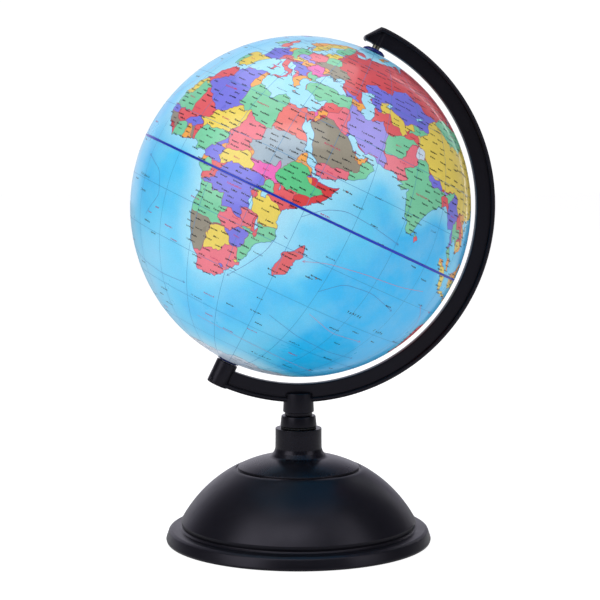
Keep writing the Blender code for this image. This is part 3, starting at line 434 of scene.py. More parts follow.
# Painted in this order inside the coasts, so a later country covers an earlier one.
COUNTRIES = """
morocco red -13.2 27.7 -8.7 27.7 -8.7 28.8 -5 30 -1.2 32.2 -1.8 35.5 -7 36.5 -12 33;
western_sahara yellow -18 20.8 -13 21.3 -13 23 -12 23.4 -12 26 -8.7 26 -8.7 27.7 -13.2 27.7 -19 27;
mauritania green -17.5 16.5 -12 14.8 -5.5 15.5 -6.5 25 -4.8 25 -8.7 27.3 -8.7 26 -12 26 -12 23.4
 -13 23 -13 21.3 -18 20.8;
mali red -12 14.8 -11.4 12.4 -8 10.3 -5.5 10.4 -4.5 13 -2 14.2 0.2 15 3.5 15.4 4.2 16.8 4.2 19.2
 1.2 21.1 -4.8 25 -6.5 25 -5.5 15.5;
algeria violet -8.7 27.3 -4.8 25 1.2 21.1 3.2 19 6 19.4 12 23.5 10 24.5 9.5 26.4 9.9 28 9.5 30.2
 7.6 33.2 8.3 35 8.6 37.5 2 38 -2.2 36 -1.2 32.2 -5 30 -8.7 28.8;
tunisia orange 8.6 37.5 8.3 35 7.6 33.2 9.5 30.2 11.5 33.2 12 38;
libya green 9.5 30.2 9.9 28 9.5 26.4 10 24.5 12 23.5 14.2 22.6 15.9 23.4 24 19.5 24 20 25 20
 25 31.7 20 34 11.5 33.2;
egypt coral 25 31.7 25 22 31.2 22 37 22 36 24 34 28 34.9 29.5 34.3 31.4 30 32.5;
sudan slate 25 22 37 22 38.6 18 36.5 14.3 36 12.5 34.3 10.5 34 8.6 33 12 32 9.7 28 9.4 24.5 8.7
 23.5 10.8 22 12.7 22 15 24 16 24 20 25 20;
south_sudan pink 24.2 8.7 28 9.4 32 9.7 33 12 34 8.6 33 7.8 35.9 4.6 31 3.7 27.4 5;
niger yellow 0.2 15 3.5 11.7 4 13.5 7 13 10 13.3 13.3 13.6 15.5 16.9 16 23.4 14.2 22.6 12 23.5
 6 19.4 4.2 19.2 4.2 16.8 3.5 15.4;
chad rose 13.5 13.6 15.5 16.9 15.9 23.4 24 19.5 24 16 22 15 22 12.7 23 11 19 9 15.5 7.5 15.5 10
 14 12.5;
nigeria green 2.7 6 2.7 9 3.6 11.7 4 13.5 7 13 10 13.3 13.5 13.6 14.5 12.5 13.2 10 12 7.3
 10.2 7 8.7 4.3 6 3;
cameroon violet 8.7 4.3 10.2 7 12 7.3 13.2 10 14.5 12.7 15.2 10 14 9 15.5 7.5 14.6 5 16 2
 13 2.2 9.8 2.2 8 3;
central_africa yellow 14.6 5 15.5 7.5 19 9 22 11 24.3 8.6 27.4 5 23 4.5 19.5 5 18.6 3.5 16 2.2;
ethiopia leaf 33 8 34.3 10.6 36.3 14.3 39.5 14.5 42.3 12.4 41.8 11 43 9.3 44 9 48 8 45 5 42 4.2
 38 3.6 36 4.5;
eritrea orange 36.4 14.3 37 17 38.6 18.2 40 16 43.2 12.6 42.3 12.4 39.5 14.5;
djibouti violet 42.3 12.4 43.4 12.6 43.6 11.4 41.8 11;
somalia crimson 41 -1 41 3.2 42 4.2 45 5 48 8 44 9 43 11.3 51.5 12.5 53 9 46 -1 42 -3;
kenya red 34 -1 34 4.3 36 4.5 38 3.6 41 4 41 -1 41.6 -1.7 42 -4.7 39.2 -4.8 37.7 -3.4;
uganda green 29.6 -1 31.2 2.2 31 3.7 34 4.2 34.6 1 34 -1;
congo_dr violet 12.2 -6 13.5 -4.8 16 -3 16.6 0 18 3.6 19.5 5 23 4.5 27.4 5 30.8 3.5 31.2 2.2
 29.6 -1 29 -3 29.4 -6 30.8 -8.4 28.6 -8.7 28.4 -12 29.8 -13.4 27 -12 24 -11 22 -11.2
 21.8 -7.3 17 -8 16.5 -5.9;
congo red 11 -4 12 -5 13.5 -4.8 16 -3 16.6 0 18 3.6 16 2.2 13.2 2.2 14.4 0 14 -2 12 -2.4;
gabon green 8.5 0.5 9.8 1 11.3 2.2 13.2 2.2 14.4 0 14 -2 12 -2.4 11 -4 8 -2;
equatorial_guinea orange 9 1 11.3 1 11.3 2.3 9 2.3;
angola green 12 -6 16.5 -5.9 17 -8 21.8 -7.3 22 -11.2 24 -11 24 -13 22 -13 22 -16 23.4 -17.6
 21 -18 18.5 -17.4 11 -17.2 10 -12 11 -7;
zambia rose 22 -13 24 -13 24 -11 27 -12 29.8 -13.4 28.4 -12 28.6 -8.7 31 -8.5 33 -9.5 33.3 -12
 32.7 -13.8 30.2 -15.5 27 -18 25.2 -17.8 23.4 -17.6 22 -16;
tanzania yellow 29.6 -4.5 30.7 -1 34 -1 37.7 -3.4 39.3 -4.9 42 -7 41 -10.5 37 -11.6 34.6 -11.5
 34 -9.5 33 -9.4 31 -8.5 29.4 -6;
rwanda_burundi red 29 -1.5 30.7 -1.2 30.8 -3 29.6 -4.4 29 -2.7;
mozambique green 41 -10.4 37 -11.6 34.7 -11.6 35.8 -15.8 35.2 -17 34.4 -14.5 30.3 -15 31 -16
 33 -17.4 32.8 -20 31.3 -22.4 32 -26.8 35 -27 38 -20 42 -14;
malawi red 33 -9.4 34 -9.5 34.7 -12 35.8 -15 35.2 -17.1 34.4 -14.5 32.8 -13.8;
zimbabwe violet 25.3 -17.8 27 -18 30.2 -15.6 33 -17 32.8 -20 31.3 -22.4 29.3 -22.2 27.7 -20.5;
botswana yellow 21 -18.3 25.3 -17.8 27.7 -20.5 29.3 -22.2 27 -23.7 25.6 -25.6 22.8 -25.5
 20.7 -26.8 20 -24.8 20 -22 21 -22;
namibia umber 11 -17.2 18.5 -17.4 21 -18 25.2 -17.7 21 -18.3 21 -22 20 -22 20 -28.5 17 -28.8
 16 -28.6 13 -26;
south_africa rose 16 -28.6 17 -28.8 20 -28.5 20 -24.8 20.7 -26.8 22.8 -25.5 25.6 -25.6 27 -23.7
 29.3 -22.2 31.3 -22.4 32 -25.7 32 -26.8 34 -27 30 -36 18 -36 15 -32;
lesotho violet 27 -29.6 28.5 -28.6 29.5 -29.6 28 -30.6; eswatini yellow 31 -26 32 -26.2 31.9 -27.3;
senegal violet -19 14.8 -16.5 16.5 -12 14.8 -11.4 12.4 -17.5 12.4;
guinea umber -17 12.4 -13.7 12.6 -11.4 12.4 -8 10.3 -8.3 7.6 -10.5 8.5 -13.2 9 -16 10;
sierra_leone crimson -14 9 -10.5 8.6 -10.3 8.2 -11.5 6.8; liberia red -11.5 6.8 -10.3 8.5 -8.3 7.6 -7.5 4
 -10 5;
ivory_coast green -8.3 7.6 -8 10.3 -5 10.3 -2.7 9.5 -3 5 -5 4 -7.5 4.2;
ghana orange -3 5 -2.7 9.5 -2.8 11 0 11.1 1.2 6 -1 4; togo umber 0 11.1 1 11 1.7 6 1.1 5.8;
benin red 1 11 2.4 12.3 3.6 11.7 2.7 9 2.7 6 1.7 6;
burkina violet -5.5 10.4 -4.5 13 -2 14.2 0.2 15 2.3 12.4 1 11 -2.8 11 -2.7 9.5;
arabia umber 34.6 28 36 29.3 39.2 32.1 42 31.1 44.7 29.2 46.5 29.1 48.5 28.4 51 26 50.8 24.8
 51.6 24.2 52.5 22.9 55.2 22.7 55 20 52 19 49 18.6 47 17 44 17.4 42.8 16.4 41 16 38 20;
yemen rose 42.8 16.4 44 17.4 47 17 49 18.6 52 19 53.2 16.6 50 13 43 12 42 15;
oman green 53.2 16.6 52 19 55 20 55.2 22.7 56 24.2 56.6 25 61 23 57 16;
emirates orange 51.6 24.2 52.5 22.9 55.2 22.7 56 24.2 56.5 26.6 54 25;
kuwait violet 46.5 29.1 47.7 30.2 48.8 29.7 48.5 28.4;
iraq rose 38.8 33.4 41 34.5 42.4 37.2 44.8 37.2 46 35.2 46 33 48 30.3 47.7 30.1 46.5 29.1
 44.7 29.2 42 31.1 39.2 32.1;
jordan orange 35 29.4 35.6 32.7 38.8 33.4 39.2 32.1 37 31.5 36 29.2;
levant pink 34 31.3 35 29.4 35.6 32.7 35.8 33.3 36 34.6 34 33;
syria red 35.6 32.7 35.8 33.3 36.6 34.4 35 36 37 36.7 42.4 37.2 41 34.5 38.8 33.4;
turkey green 35.8 36 37 36.7 42.4 37.2 44.8 37.2 44.5 39.8 43.5 41.1 41.5 41.5 38 42 31 43
 28 42 26 41.8 25.9 40.5 25 39 27 35.8 32 35.5;
georgia violet 40 43.5 41.5 41.5 43.5 41.1 46.5 41.2 46 42 44 42.6;
armenia orange 43.5 41.1 45 41.2 46.5 39 44.6 39.8;
azerbaijan orange 46.5 39 45 41.2 46.5 41.3 48.5 41.9 51 40 48.8 38.4;
iran lilac 44.8 37.2 44.5 39.8 46.5 39 48.8 38.4 51 37 54 37.3 57.3 38.2 61.2 35.6 60.8 33
 61 31 61.8 29.5 63.2 27.2 61.6 25 56 26 50 29 48 30.3 46 33 46 35.2;
kazakhstan violet 46.8 48.5 47 50 52 51.3 55 50.8 61 50.8 61.5 53.9 69 55.2 77 53.5 80 50.8
 87.3 49.1 83 47 80.3 45 80.2 42.2 74 43 71 42.2 68 41.2 66 42.8 61.5 43.7 58.6 45.5 56 45
 56 41.3 52.5 42 49 46;
turkmenistan red 52.5 41.8 54 37.3 57.3 38.2 61.2 35.6 62.3 35.3 66.5 37.4 62 40 60 42.2 57 41.3
 56 41.3;
uzbekistan yellow 56 45 56 41.3 57 41.3 60 42.2 62 40 66.5 37.3 68.2 38.5 68 40 70.5 40.2 73 40.5
 71 42.2 68 41.2 66 42.8 61.5 43.7 58.6 45.5;
kyrgyzstan green 71 42.2 74 43 80.2 42.2 76.5 40.4 73.8 39.5 69.5 39.6 70.5 40.2 73 40.5;
tajikistan red 67.5 37.4 68.2 38.5 68 40 69.5 39.6 73.8 39.5 75 37.4 71.5 36.8;
afghanistan green 60.8 33 61.2 35.6 62.3 35.3 66.5 37.4 71.5 37.9 75 37.3 71.5 36.5 71 34
 69.3 33 69.3 31.8 66.3 29.9 62.5 29.4 61 31;
pakistan rose 61.6 24.5 63.2 27.2 61.8 29.5 66.3 29.9 69.3 31.8 70 34 71.5 36.5 75 37 77 35.5
 74 34 74.5 31 73 29.5 70 28 71 24.6 68.2 23.5 66 24;
india green 68 23.5 71 24.6 70 28 73 29.5 74.5 31 74 34 77 35.5 79 32.5 81 30.3 88 27.5 89 26.8
 92 27.5 97 28.2 94.5 25 93 22.5 92.3 24 89.8 25.8 88.2 24.5 89 21.5 84 17 81 9 77 6 70 17;
nepal violet 80 29 81.5 30.3 88 27.8 88 26.4 84 27;
kashmir ice 73.6 35 75 37 78.4 35.6 78 33.2 75.4 32.8; bhutan lilac 89 26.8 92 27 91.6 28 89.8 28.2;
bangladesh red 88.2 24.5 89.8 25.9 92.3 24.8 92.5 21 90 21.5 89 21.8;
china yellow 73.8 39.5 76.5 40.4 80.2 42.2 80.3 45 83 47 87.3 49.1 91 45.5 96 42.7 105 41.7
 111.8 43.6 115 45.5 119.8 46.7 116 49.8 120 53.3 126 53 131 47.8 134.7 48.3 131 45 130.7 42.4
 128 42 124.5 40 122 38 125 32 123 24 120 21 112 17 108 18 108 21.5 105.3 23.3 102.2 22.4
 101 21.7 98.7 24 98.7 27.5 97 28.2 92 27.8 88 27.8 81.5 30.3 79 32.5 77.8 35.5 75 37.3;
mongolia green 87.8 49.2 92 50.7 98.5 52 102 50.5 107 49.7 116 49.8 119.8 46.7 115 45.5
 111.8 43.6 105 41.7 96 42.7 91 45.5;
myanmar violet 92.3 20.8 93.3 24 97 28.2 98.7 27.5 98.7 24 101 21.7 100 20.3 97.8 18.5 98.7 15
 99.6 11.5 98.5 9.8 94 15;
thailand green 97.8 18.5 100 20.2 101 17.7 104 18.2 105.5 15 102.5 13.6 102.6 12 100.5 12.6
 100.5 9 102.2 6 99.5 6.4 97.8 8 99.6 11.5 98.7 15;
laos red 100 20.3 102 22.4 104.5 20.2 107.5 15 106 14 105.5 15 104 18.2 101 17.7;
vietnam orange 102.2 22.5 105.3 23.3 108 21.5 107 18 110 14 110 11 106 8 104.5 8.5 105 10.6
 106.5 11.7 107.6 12.5 107.5 15 104.5 20.2;
cambodia yellow 102.6 13.6 106 14.2 107.6 12.5 105 10.4 103 10.8;
malaysia orange 99.5 6.5 102.2 6.2 105 1.2 103 1 100 4;
korea_north violet 124.3 40 128 42 130.7 42.4 130 38.5 125 37.8;
korea_south orange 125 37.8 130 38.5 130 34 125 34;
japan rose 139 46 147 44 142 34 131 30 128 33 135 37;
philippines red 116 8 119 20 124 19 128 8 125 5;
indonesia yellow 94 6 100 2.8 104 1 108 2.5 112 -2 130 3 141 0 141 -11 95 -11;
borneo_north orange 109.2 2 111.5 1 115 2.8 116 4.2 118 4.2 120 5.5 117 8 109 3;
new_guinea_east green 141 0 141 -10 155 -12 165 -12 155 -2;
ukraine umber 22.2 48.2 24 51.8 31 52 34 51.2 40 49.6 38 47 36.5 45 33 44 30 45.5 29.7 45.3
 28.2 45.5 30 46.4 28 48.3;
romania pink 20.3 46 22.8 48 26.5 48.2 28.2 45.5 30 45 28.6 43.7 23 43.8 21.4 44.8;
moldova orange 26.6 48.3 28 48.4 30 46.4 28.2 45.5; bulgaria green 22.5 44 28.6 43.7 29 42 26.3 41.8 23 41.4;
greece orange 20 39.7 21 40.9 23 41.4 26.3 41.7 27 38 26 34.5 20 36 19 39;
yugoslavia violet 13.5 45.5 16 46.8 19 46 21.4 44.8 22.5 44 22.5 42.3 23 41.3 20.8 40.9 20 42
 19 42 14 43; albania rose 19 42.5 20.5 42 21 40.8 20 39.6 19 40;
italy red 7 44 7 46 10.5 46.8 13.6 46.5 13.7 45.6 14 43 19 41 18 37 12 36 8 38;
austria yellow 9.6 47.4 13 48.6 17 48.7 16 46.8 10.5 46.8;
hungary orange 16 46.8 17 48 22.8 48.3 20.3 46 18 45.8;
czech lilac 12.2 50.2 15 51 18.5 49.9 22.4 49 22.2 48.2 17 48 13 48.7;
poland rose 14.3 54 14.7 51 18.5 50 22.5 49.2 24 51.5 23.6 54 19.5 54.5 18 55.3;
germany green 6 51 6.5 49.5 8 49 7.6 47.6 13 47.6 12.2 50.2 14.9 51 14.3 54 12 55 8.5 55 6.9 53.8;
france violet -1.8 43.3 3.2 42.4 7.5 43.6 10 41 10 43.2 7.5 43.8 7 46 6.1 46.3 7.6 47.6 8.2 49
 6 49.5 2.5 51.2 -6 49 -3 46;
switzerland red 6.1 46.2 7.6 47.6 9.6 47.4 10.4 46.6 8 46;
lowlands orange 2.5 51.1 4.2 50 6 49.5 6.2 51 7 53.5 4 53.5;
spain yellow -10 44 -1.8 43.4 3.3 42.4 4 40 -2 36 -6 35.9 -7.4 37.2 -6.9 41.9 -9 42;
portugal green -10 37 -7.4 37 -6.3 41.8 -9.5 42; britain coral -6 49.5 2 50.5 0 60 -8 59 -5.5 55;
ireland green -11 51 -5.8 52 -5.7 55 -9 56; iceland violet -25 63 -13 63 -13 67 -25 67;
norway orange 4 58 11 58.9 12.3 61 12.2 64 15 66.2 18 68.5 25.5 68.8 29 69.3 31 70 28 72 15 70
 4 63; sweden yellow 11 58.9 12.3 61 12.2 64 15 66.2 18 68.5 21 69 24 66 22 65 18 62 19.5 59.5
 17 56 12.5 55; finland green 21 69 25.5 68.8 28.5 69.9 29.5 68 30 64 31.5 62.5 28 60.4
 22 59.5 20 61 22 65 24 66; denmark red 8 55 8 58 11 58 12.8 56 12.5 54.8;
baltics yellow 20 57 24 59.8 28 59.5 28 56 26.5 55.5 23.5 54 20.5 55;
belarus green 23.6 54 26.5 55.7 30.8 55.7 32.7 53.3 31 52 24 51.7;
usa yellow -126 48.5 -123 49 -95 49 -89 48 -83 46 -82.5 42.5 -79 43 -75 45 -71 45 -69 47.4 -67 45
 -66 41 -75 33 -79 24 -88 28 -97 25.9 -101 29.7 -104 29.4 -106.5 31.7 -111 31.3 -114.8 32.5
 -117.2 32.5 -126 38; alaska yellow -141 60.3 -141 70.5 -155 73 -169 70 -169 52 -155 54
 -140 59.5 -131 54.8 -133 58.5 -137 59; hawaii yellow -161 23 -154 22 -154 18 -158 19;
mexico green -117.2 32.5 -114.8 32.5 -111 31.3 -106.5 31.7 -104 29.4 -101 29.7 -97 25.9 -95 22
 -90 23 -86 22 -88 18 -89 17.8 -91 17.8 -92 14.5 -105 15 -118 28;
guatemala red -92.3 13.4 -92.3 14.4 -91 17.8 -87 17.8 -88.5 15.8 -90 13;
honduras yellow -89.3 14.4 -88.5 16.5 -83 16 -83 15.2 -87.5 13;
nicaragua violet -88 13 -83 15 -82.5 11 -86 11; costa_rica red -86 11 -82.5 11 -82.7 9.6 -82.9 8
 -86 9; panama green -82.9 8 -82.7 9.8 -77.3 9.7 -77.2 7.5 -81 7; cuba rose -86 21 -83 24 -73 21
 -77 19; hispaniola orange -71.7 17 -71.7 20.5 -68 20 -68 17.5; haiti violet -75 17.8 -75 20.5
 -71.7 20.5 -71.7 17; jamaica green -79 19 -75.8 18.6 -77 17.3;
argentina violet -66 -22 -62.5 -22.3 -58 -27 -54.5 -25.5 -53.8 -27.5 -57.6 -30.3 -58.3 -34
 -55 -36 -60 -50 -65 -56 -68.6 -55 -68.6 -52.3 -72 -52 -72 -46 -71.5 -40 -70 -34 -69 -27
 -67 -23; chile red -70.6 -18.3 -69 -18 -67.2 -22.8 -68.5 -27 -70 -34 -71.5 -40 -72 -46 -72 -52
 -68.6 -52.3 -68.6 -55 -66 -57 -80 -55 -78 -40 -73 -18;
peru yellow -70.6 -18.3 -69 -17.5 -68.9 -12.5 -70.5 -11 -73.9 -7.3 -70 -4.3 -75 -0.2 -78 -3
 -80.3 -4.4 -80.2 -3.4 -83 -5 -78 -16; bolivia rose -69.6 -17.6 -67 -22.8 -64.5 -22.3
 -62.6 -22.2 -61.7 -19.6 -58.2 -19.8 -58.3 -16.3 -60.2 -15 -65.3 -11.8 -65.4 -9.8 -68.9 -11
 -68.9 -13; colombia coral -78.9 1.4 -75.3 -0.1 -70 -4.2 -69.9 1.7 -67.3 2 -67.5 6 -72 7.3
 -71.5 12.5 -76 12 -77.4 8.6 -79 4; venezuela lilac -67.3 2 -67.5 6 -72 7.3 -73 9.3 -71.3 12
 -60 11 -59.8 8.4 -61 6 -60.7 5.2 -64 4 -65.5 0.8; ecuador orange -82 -3 -80.3 -4.4 -78 -3
 -75.2 -0.2 -79 1.5 -82 0; guyana yellow -59.8 8.4 -61 6 -60.7 5.2 -59.8 1.5 -56.5 2 -57.3 7;
suriname red -57.3 7 -56.5 2 -54.5 2.3 -54 6.5; french_guiana umber -54 6.5 -54.5 2.3 -52 2.3
 -51 4.5; paraguay orange -62.6 -22.2 -61.7 -19.6 -58.2 -19.8 -57.8 -22.1 -54.3 -24 -54.6 -25.6
 -58.6 -27.2 -58 -25; uruguay yellow -58.5 -34.4 -57.6 -30.2 -53.5 -33.2 -53 -36 -57 -36;
new_zealand yellow 165 -33 179 -33 179 -48 165 -48;
"""
DEFAULT_FILL = {
    "eurasia": "brick",
    "north_america": "rose",
    "south_america": "green",
    "australia": "red",
    "antarctica": "ice",
    "greenland": "umber",
    "madagascar": "red",
    "sri_lanka": "red",
}


# ---------------------------------------------------------------- world map


def shapes(text):
    """Parses "name lon lat lon lat ...;" entries into (words, points)."""
    found = []
    for entry in text.split(";"):
        words = entry.split()
        if words:
            labels = [w for w in words if w[0].isalpha()]
            numbers = np.array([float(w) for w in words[len(labels) :]])
            found.append((labels, numbers.reshape(-1, 2)))
    return found


WEST, EAST = -169.0, 191.0
SKIN_R = GLOBE_R
POLE_BORE_R = 4.2 * MM
REBATE_HEIGHT = 0.9 * MM  # half the width of the rebate that the equator tape lies in
POLE_LAT = degrees(np.arccos(POLE_BORE_R / SKIN_R))
BAND_LAT = degrees(asin(REBATE_HEIGHT / SKIN_R))
INK_LIFT = 0.03 * MM
WAVES = []
for wavelength, amplitude in ((7.0, 0.2), (3.4, 0.13), (1.7, 0.11)):
    for _ in range(3):
        angle, phase_x, phase_y = rng.uniform(0, tau, 3)
        WAVES.append((wavelength, amplitude, cos(angle), sin(angle), phase_x, phase_y))


def wiggle(points):
    """Moves map points by a few seeded waves, so that coasts and borders look surveyed.
    A border listed twice still meets itself, because the waves depend on place alone."""
    lon, lat = points[:, 0], points[:, 1]
    near_seam = np.minimum(np.abs(lon - WEST), np.abs(EAST - lon))
    calm = np.clip(near_seam / 4, 0, 1) * np.clip((86 - np.abs(lat)) / 4, 0, 1)
    stretch = 1 / np.maximum(np.cos(np.radians(lat)), 0.25)
    moved = points.copy()
    for wavelength, amplitude, dx, dy, phase_x, phase_y in WAVES:
        along_wave = tau * (lon * dx + lat * dy) / wavelength
        moved[:, 0] += amplitude * stretch * calm * np.sin(along_wave + phase_x)
        moved[:, 1] += amplitude * calm * np.sin(along_wave + phase_y)
    return moved


def subdivided(points, longest=0.8, closed=True):
    out = []
    count = len(points)
    for i in range(count if closed else count - 1):
        a, b = points[i], points[(i + 1) % count]
        width = (b[0] - a[0]) * cos(radians((a[1] + b[1]) / 2))
        steps = max(1, int(np.ceil(hypot(width, b[1] - a[1]) / longest)))
        out.extend(a + (b - a) * k / steps for k in range(steps))
    if not closed:
        out.append(points[-1])
    return np.array(out)


def sphere(lon, lat):
    """Unit vectors of true map places, in a frame with north along Z."""
    lon, lat = np.radians(lon), np.radians(lat)
    return np.stack([np.cos(lat) * np.cos(lon), np.cos(lat) * np.sin(lon), np.sin(lat)], -1)


MAP_TURN = 139.3  # printed longitude that lies in the arm's plane
STRETCH_LON, STRETCH_AT, SQUEEZE_LAT = 4.2, 43.0, 2.4


def printed(lon, lat):
    """Unit vectors in the globe's own frame, with the small stretch of the printed gores."""
    lon, lat = np.asarray(lon, float), np.asarray(lat, float)
    azimuth = lon + STRETCH_LON * np.sin(np.radians(lon - STRETCH_AT)) - MAP_TURN
    squeezed = lat - SQUEEZE_LAT * np.sin(np.radians(4 * lat))
    return sphere(azimuth, np.where(np.abs(lat) < 45, squeezed, lat))


def globe_points(unit, radius):
    turn = np.array(TILTED)
    return unit * radius @ turn[:3, :3].T + turn[:3, 3]


lands = [(labels[0], wiggle(subdivided(p))) for labels, p in shapes(LANDS)]
lakes = [wiggle(subdivided(p)) for _, p in shapes(LAKES)]
countries = [(*labels, wiggle(subdivided(p))) for labels, p in shapes(COUNTRIES)]


def tree_of(points):
    made = kdtree.KDTree(len(points))
    for i, p in enumerate(points):
        made.insert(p, i)
    made.balance()
    return made


# Constraint lines for the triangulation: every coast, lake and border, and the four
# parallels where the shells end.
coords, edges = [], []
for points in [p for _, p in lands] + lakes + [p for _, _, p in countries]:
    first = len(coords)
    count = len(points)
    coords.extend(map(tuple, points))
    for i in range(count):
        a, b = points[i], points[(i + 1) % count]
        beyond = max(abs(a[1]), abs(b[1])) > POLE_LAT
        on_seam = max(a[0], b[0]) < WEST + 0.01 or min(a[0], b[0]) > EAST - 0.01
        if not beyond and not on_seam:
            edges.append((first + i, first + (i + 1) % count))
used = sorted({i for e in edges for i in e})
renumber = {old: new for new, old in enumerate(used)}
coords = [coords[i] for i in used]
edges = [(renumber[a], renumber[b]) for a, b in edges]
flat_tree = tree_of([(lon * cos(radians(lat)), lat, 0) for lon, lat in coords])
coast_tree = tree_of(sphere(*np.concatenate([p for _, p in lands]).T))

GRID_STEP = 2.6
ROWS = 34
rows = [BAND_LAT + (POLE_LAT - BAND_LAT) * k / ROWS for k in range(ROWS + 1)]
for lat in [-v for v in reversed(rows)] + rows:
    limit = abs(lat) in (rows[0], rows[-1])
    steps = max(36, int(360 * cos(radians(lat)) / GRID_STEP))
    if abs(lat) == rows[0]:
        steps = 240
    previous = None
    for k in range(steps + 1):
        lon = WEST + 360 * k / steps
        spot = (lon * cos(radians(lat)), lat, 0)
        if not limit and k not in (0, steps) and flat_tree.find(spot)[2] < 0.7:
            continue
        coords.append((lon, lat))
        if limit and previous is not None:
            edges.append((previous, len(coords) - 1))
        previous = len(coords) - 1

flat, _, triangles, *_ = geometry.delaunay_2d_cdt(
    [Vector(p) for p in coords], edges, [], 0, 1e-4, False
)
flat = np.array([tuple(v) for v in flat])
triangles = np.array([t for t in triangles if len(t) == 3])
middle = flat[triangles].mean(1)
corner = flat[triangles]
span = corner[:, 1:] - corner[:, :1]
area = np.abs(span[:, 0, 0] * span[:, 1, 1] - span[:, 0, 1] * span[:, 1, 0])
keep = (np.abs(middle[:, 1]) > BAND_LAT) & (np.abs(middle[:, 1]) < POLE_LAT)
keep &= (middle[:, 0] > WEST) & (middle[:, 0] < EAST) & (area > 1e-6)
triangles, middle, area = triangles[keep], middle[keep], area[keep]


def inside(points, polygon):
    """Which points lie in the polygon, by counting crossings."""
    result = np.zeros(len(points), bool)
    low, high = polygon.min(0), polygon.max(0)
    near = np.flatnonzero(((points > low) & (points < high)).all(1))
    x, y = points[near, 0][:, None], points[near, 1][:, None]
    x1, y1 = polygon.T
    x2, y2 = np.roll(polygon, -1, axis=0).T
    rise = np.where(y2 == y1, 1e-12, y2 - y1)
    crosses = ((y1 > y) != (y2 > y)) & (x < (x2 - x1) * (y - y1) / rise + x1)
    result[near] = crosses.sum(1) % 2 == 1
    return result


FILLS = {
    "violet": srgb(124, 124, 230),
    "lilac": srgb(162, 154, 240),
    "green": srgb(126, 212, 168),
    "leaf": srgb(96, 204, 140),
    "yellow": srgb(240, 216, 96),
    "orange": srgb(248, 174, 84),
    "red": srgb(234, 100, 106),
    "crimson": srgb(222, 70, 72),
    "coral": srgb(240, 124, 118),
    "rose": srgb(240, 122, 138),
    "brick": srgb(218, 80, 88),
    "pink": srgb(240, 112, 190),
    "umber": srgb(150, 144, 128),
    "slate": srgb(166, 186, 200),
    "ice": srgb(214, 230, 246),
}
WATER = -1
FIRST_LAND = 1000  # owner numbers below this one are countries
fill = np.full(len(triangles), WATER)
owner = np.full(len(triangles), WATER)
names = list(FILLS)
for k, (name, points) in enumerate(lands):
    here = inside(middle, points)
    fill[here] = names.index(DEFAULT_FILL.get(name, "orange"))
    owner[here] = FIRST_LAND + k
land = fill != WATER
for k, (name, colour, points) in enumerate(countries):
    here = inside(middle, points) & land
    fill[here] = names.index(colour)
    owner[here] = k
for points in lakes:
    here = inside(middle, points)
    fill[here] = owner[here] = WATER

ends = np.concatenate([triangles[:, [0, 1]], triangles[:, [1, 2]], triangles[:, [2, 0]]])
ends = np.sort(ends, axis=1)
sides = np.tile(np.arange(len(triangles)), 3)
order = np.lexsort((ends[:, 1], ends[:, 0]))
ends, sides = ends[order], sides[order]
pair = (ends[1:] == ends[:-1]).all(1)
left, right, line = sides[:-1][pair], sides[1:][pair], ends[:-1][pair]
differ = owner[left] != owner[right]
wet = (owner[left] == WATER) | (owner[right] == WATER)
coast_lines = flat[line[differ & wet]]
border_lines = flat[line[differ & ~wet]]


SAMPLES = 9000
turns = np.arange(SAMPLES)
sample_lat = np.degrees(np.arcsin(1 - (2 * turns + 1) / SAMPLES))
sample_lon = WEST + (turns * 360 * 0.618034) % 360
samples = np.stack([sample_lon, sample_lat], 1)
sample_land = np.zeros(SAMPLES, bool)
for _, points in lands:
    sample_land |= inside(samples, points)
for points in lakes:
    sample_land &= ~inside(samples, points)
sample_unit = sphere(sample_lon, sample_lat)


def shut_in(unit, reach=7.5):
    """The share of land within reach degrees: high in gulfs and inland seas."""
    shares = []
    for part in np.array_split(unit, 12):
        within = part @ sample_unit.T > cos(radians(reach))
        shares.append((within & sample_land).sum(1) / np.maximum(within.sum(1), 1))
    return np.concatenate(shares)


def ocean_print():
    """The lacquered map: flat country inks over a mottled sea that pales near the coasts."""
    n = Nodes("printed_map")
    inks = n.add("Attribute", attribute_name="ink")
    coast = n.add("Attribute", attribute_name="coast").outputs["Fac"]
    broad = n.noise(13, 3.0, 0.6)
    wisp = n.noise(48, 4.0, 0.62)
    depth = n.math("ADD", coast, n.remap(broad, 0.3, 0.7, -0.24, 0.16), True)
    sea = n.ramp(
        depth,
        [
            (0.0, srgb(174, 233, 253)),
            (0.28, srgb(160, 230, 253)),
            (0.55, srgb(138, 221, 253)),
            (0.82, srgb(92, 209, 253)),
            (1.0, srgb(32, 190, 252)),
        ],
    )
    veil = n.ramp(wisp, [(0.42, grey(0.0)), (0.72, grey(0.3))])
    sea = n.mix(veil, sea, srgb(150, 210, 246))
    tint = n.ramp(n.noise(30, 3.0, 0.6), [(0.3, grey(0.9)), (0.7, grey(1.08))])
    land = n.mix(0.8, inks.outputs["Color"], tint, "MULTIPLY")
    dots = n.ramp(n.noise(1700, 1.0, 0.5), [(0.4, grey(0.94)), (0.62, grey(1.04))])
    colour = n.mix(inks.outputs["Alpha"], sea, land)
    n.principled(Base_Color=n.mix(0.6, colour, dots, "MULTIPLY"))
    n.principled(Roughness=n.remap(n.noise(60, 3.0, 0.6), 0.3, 0.7, 0.27, 0.36))
    n.principled(Coat_Weight=0.35, Coat_Roughness=0.08)
    n.bump(n.noise(90, 2.0, 0.5), 0.05, 0.03 * MM)
    return n.material


MAP_PRINT = ocean_print()


DEEP_LON = 66.0  # the sea is printed deeper east of here and paler west of it
COAST_GAIN = 1.2
SHELL_STEPS = 24
INNER_TOP = 87.5  # latitude, in degrees, where the inside meets the bore


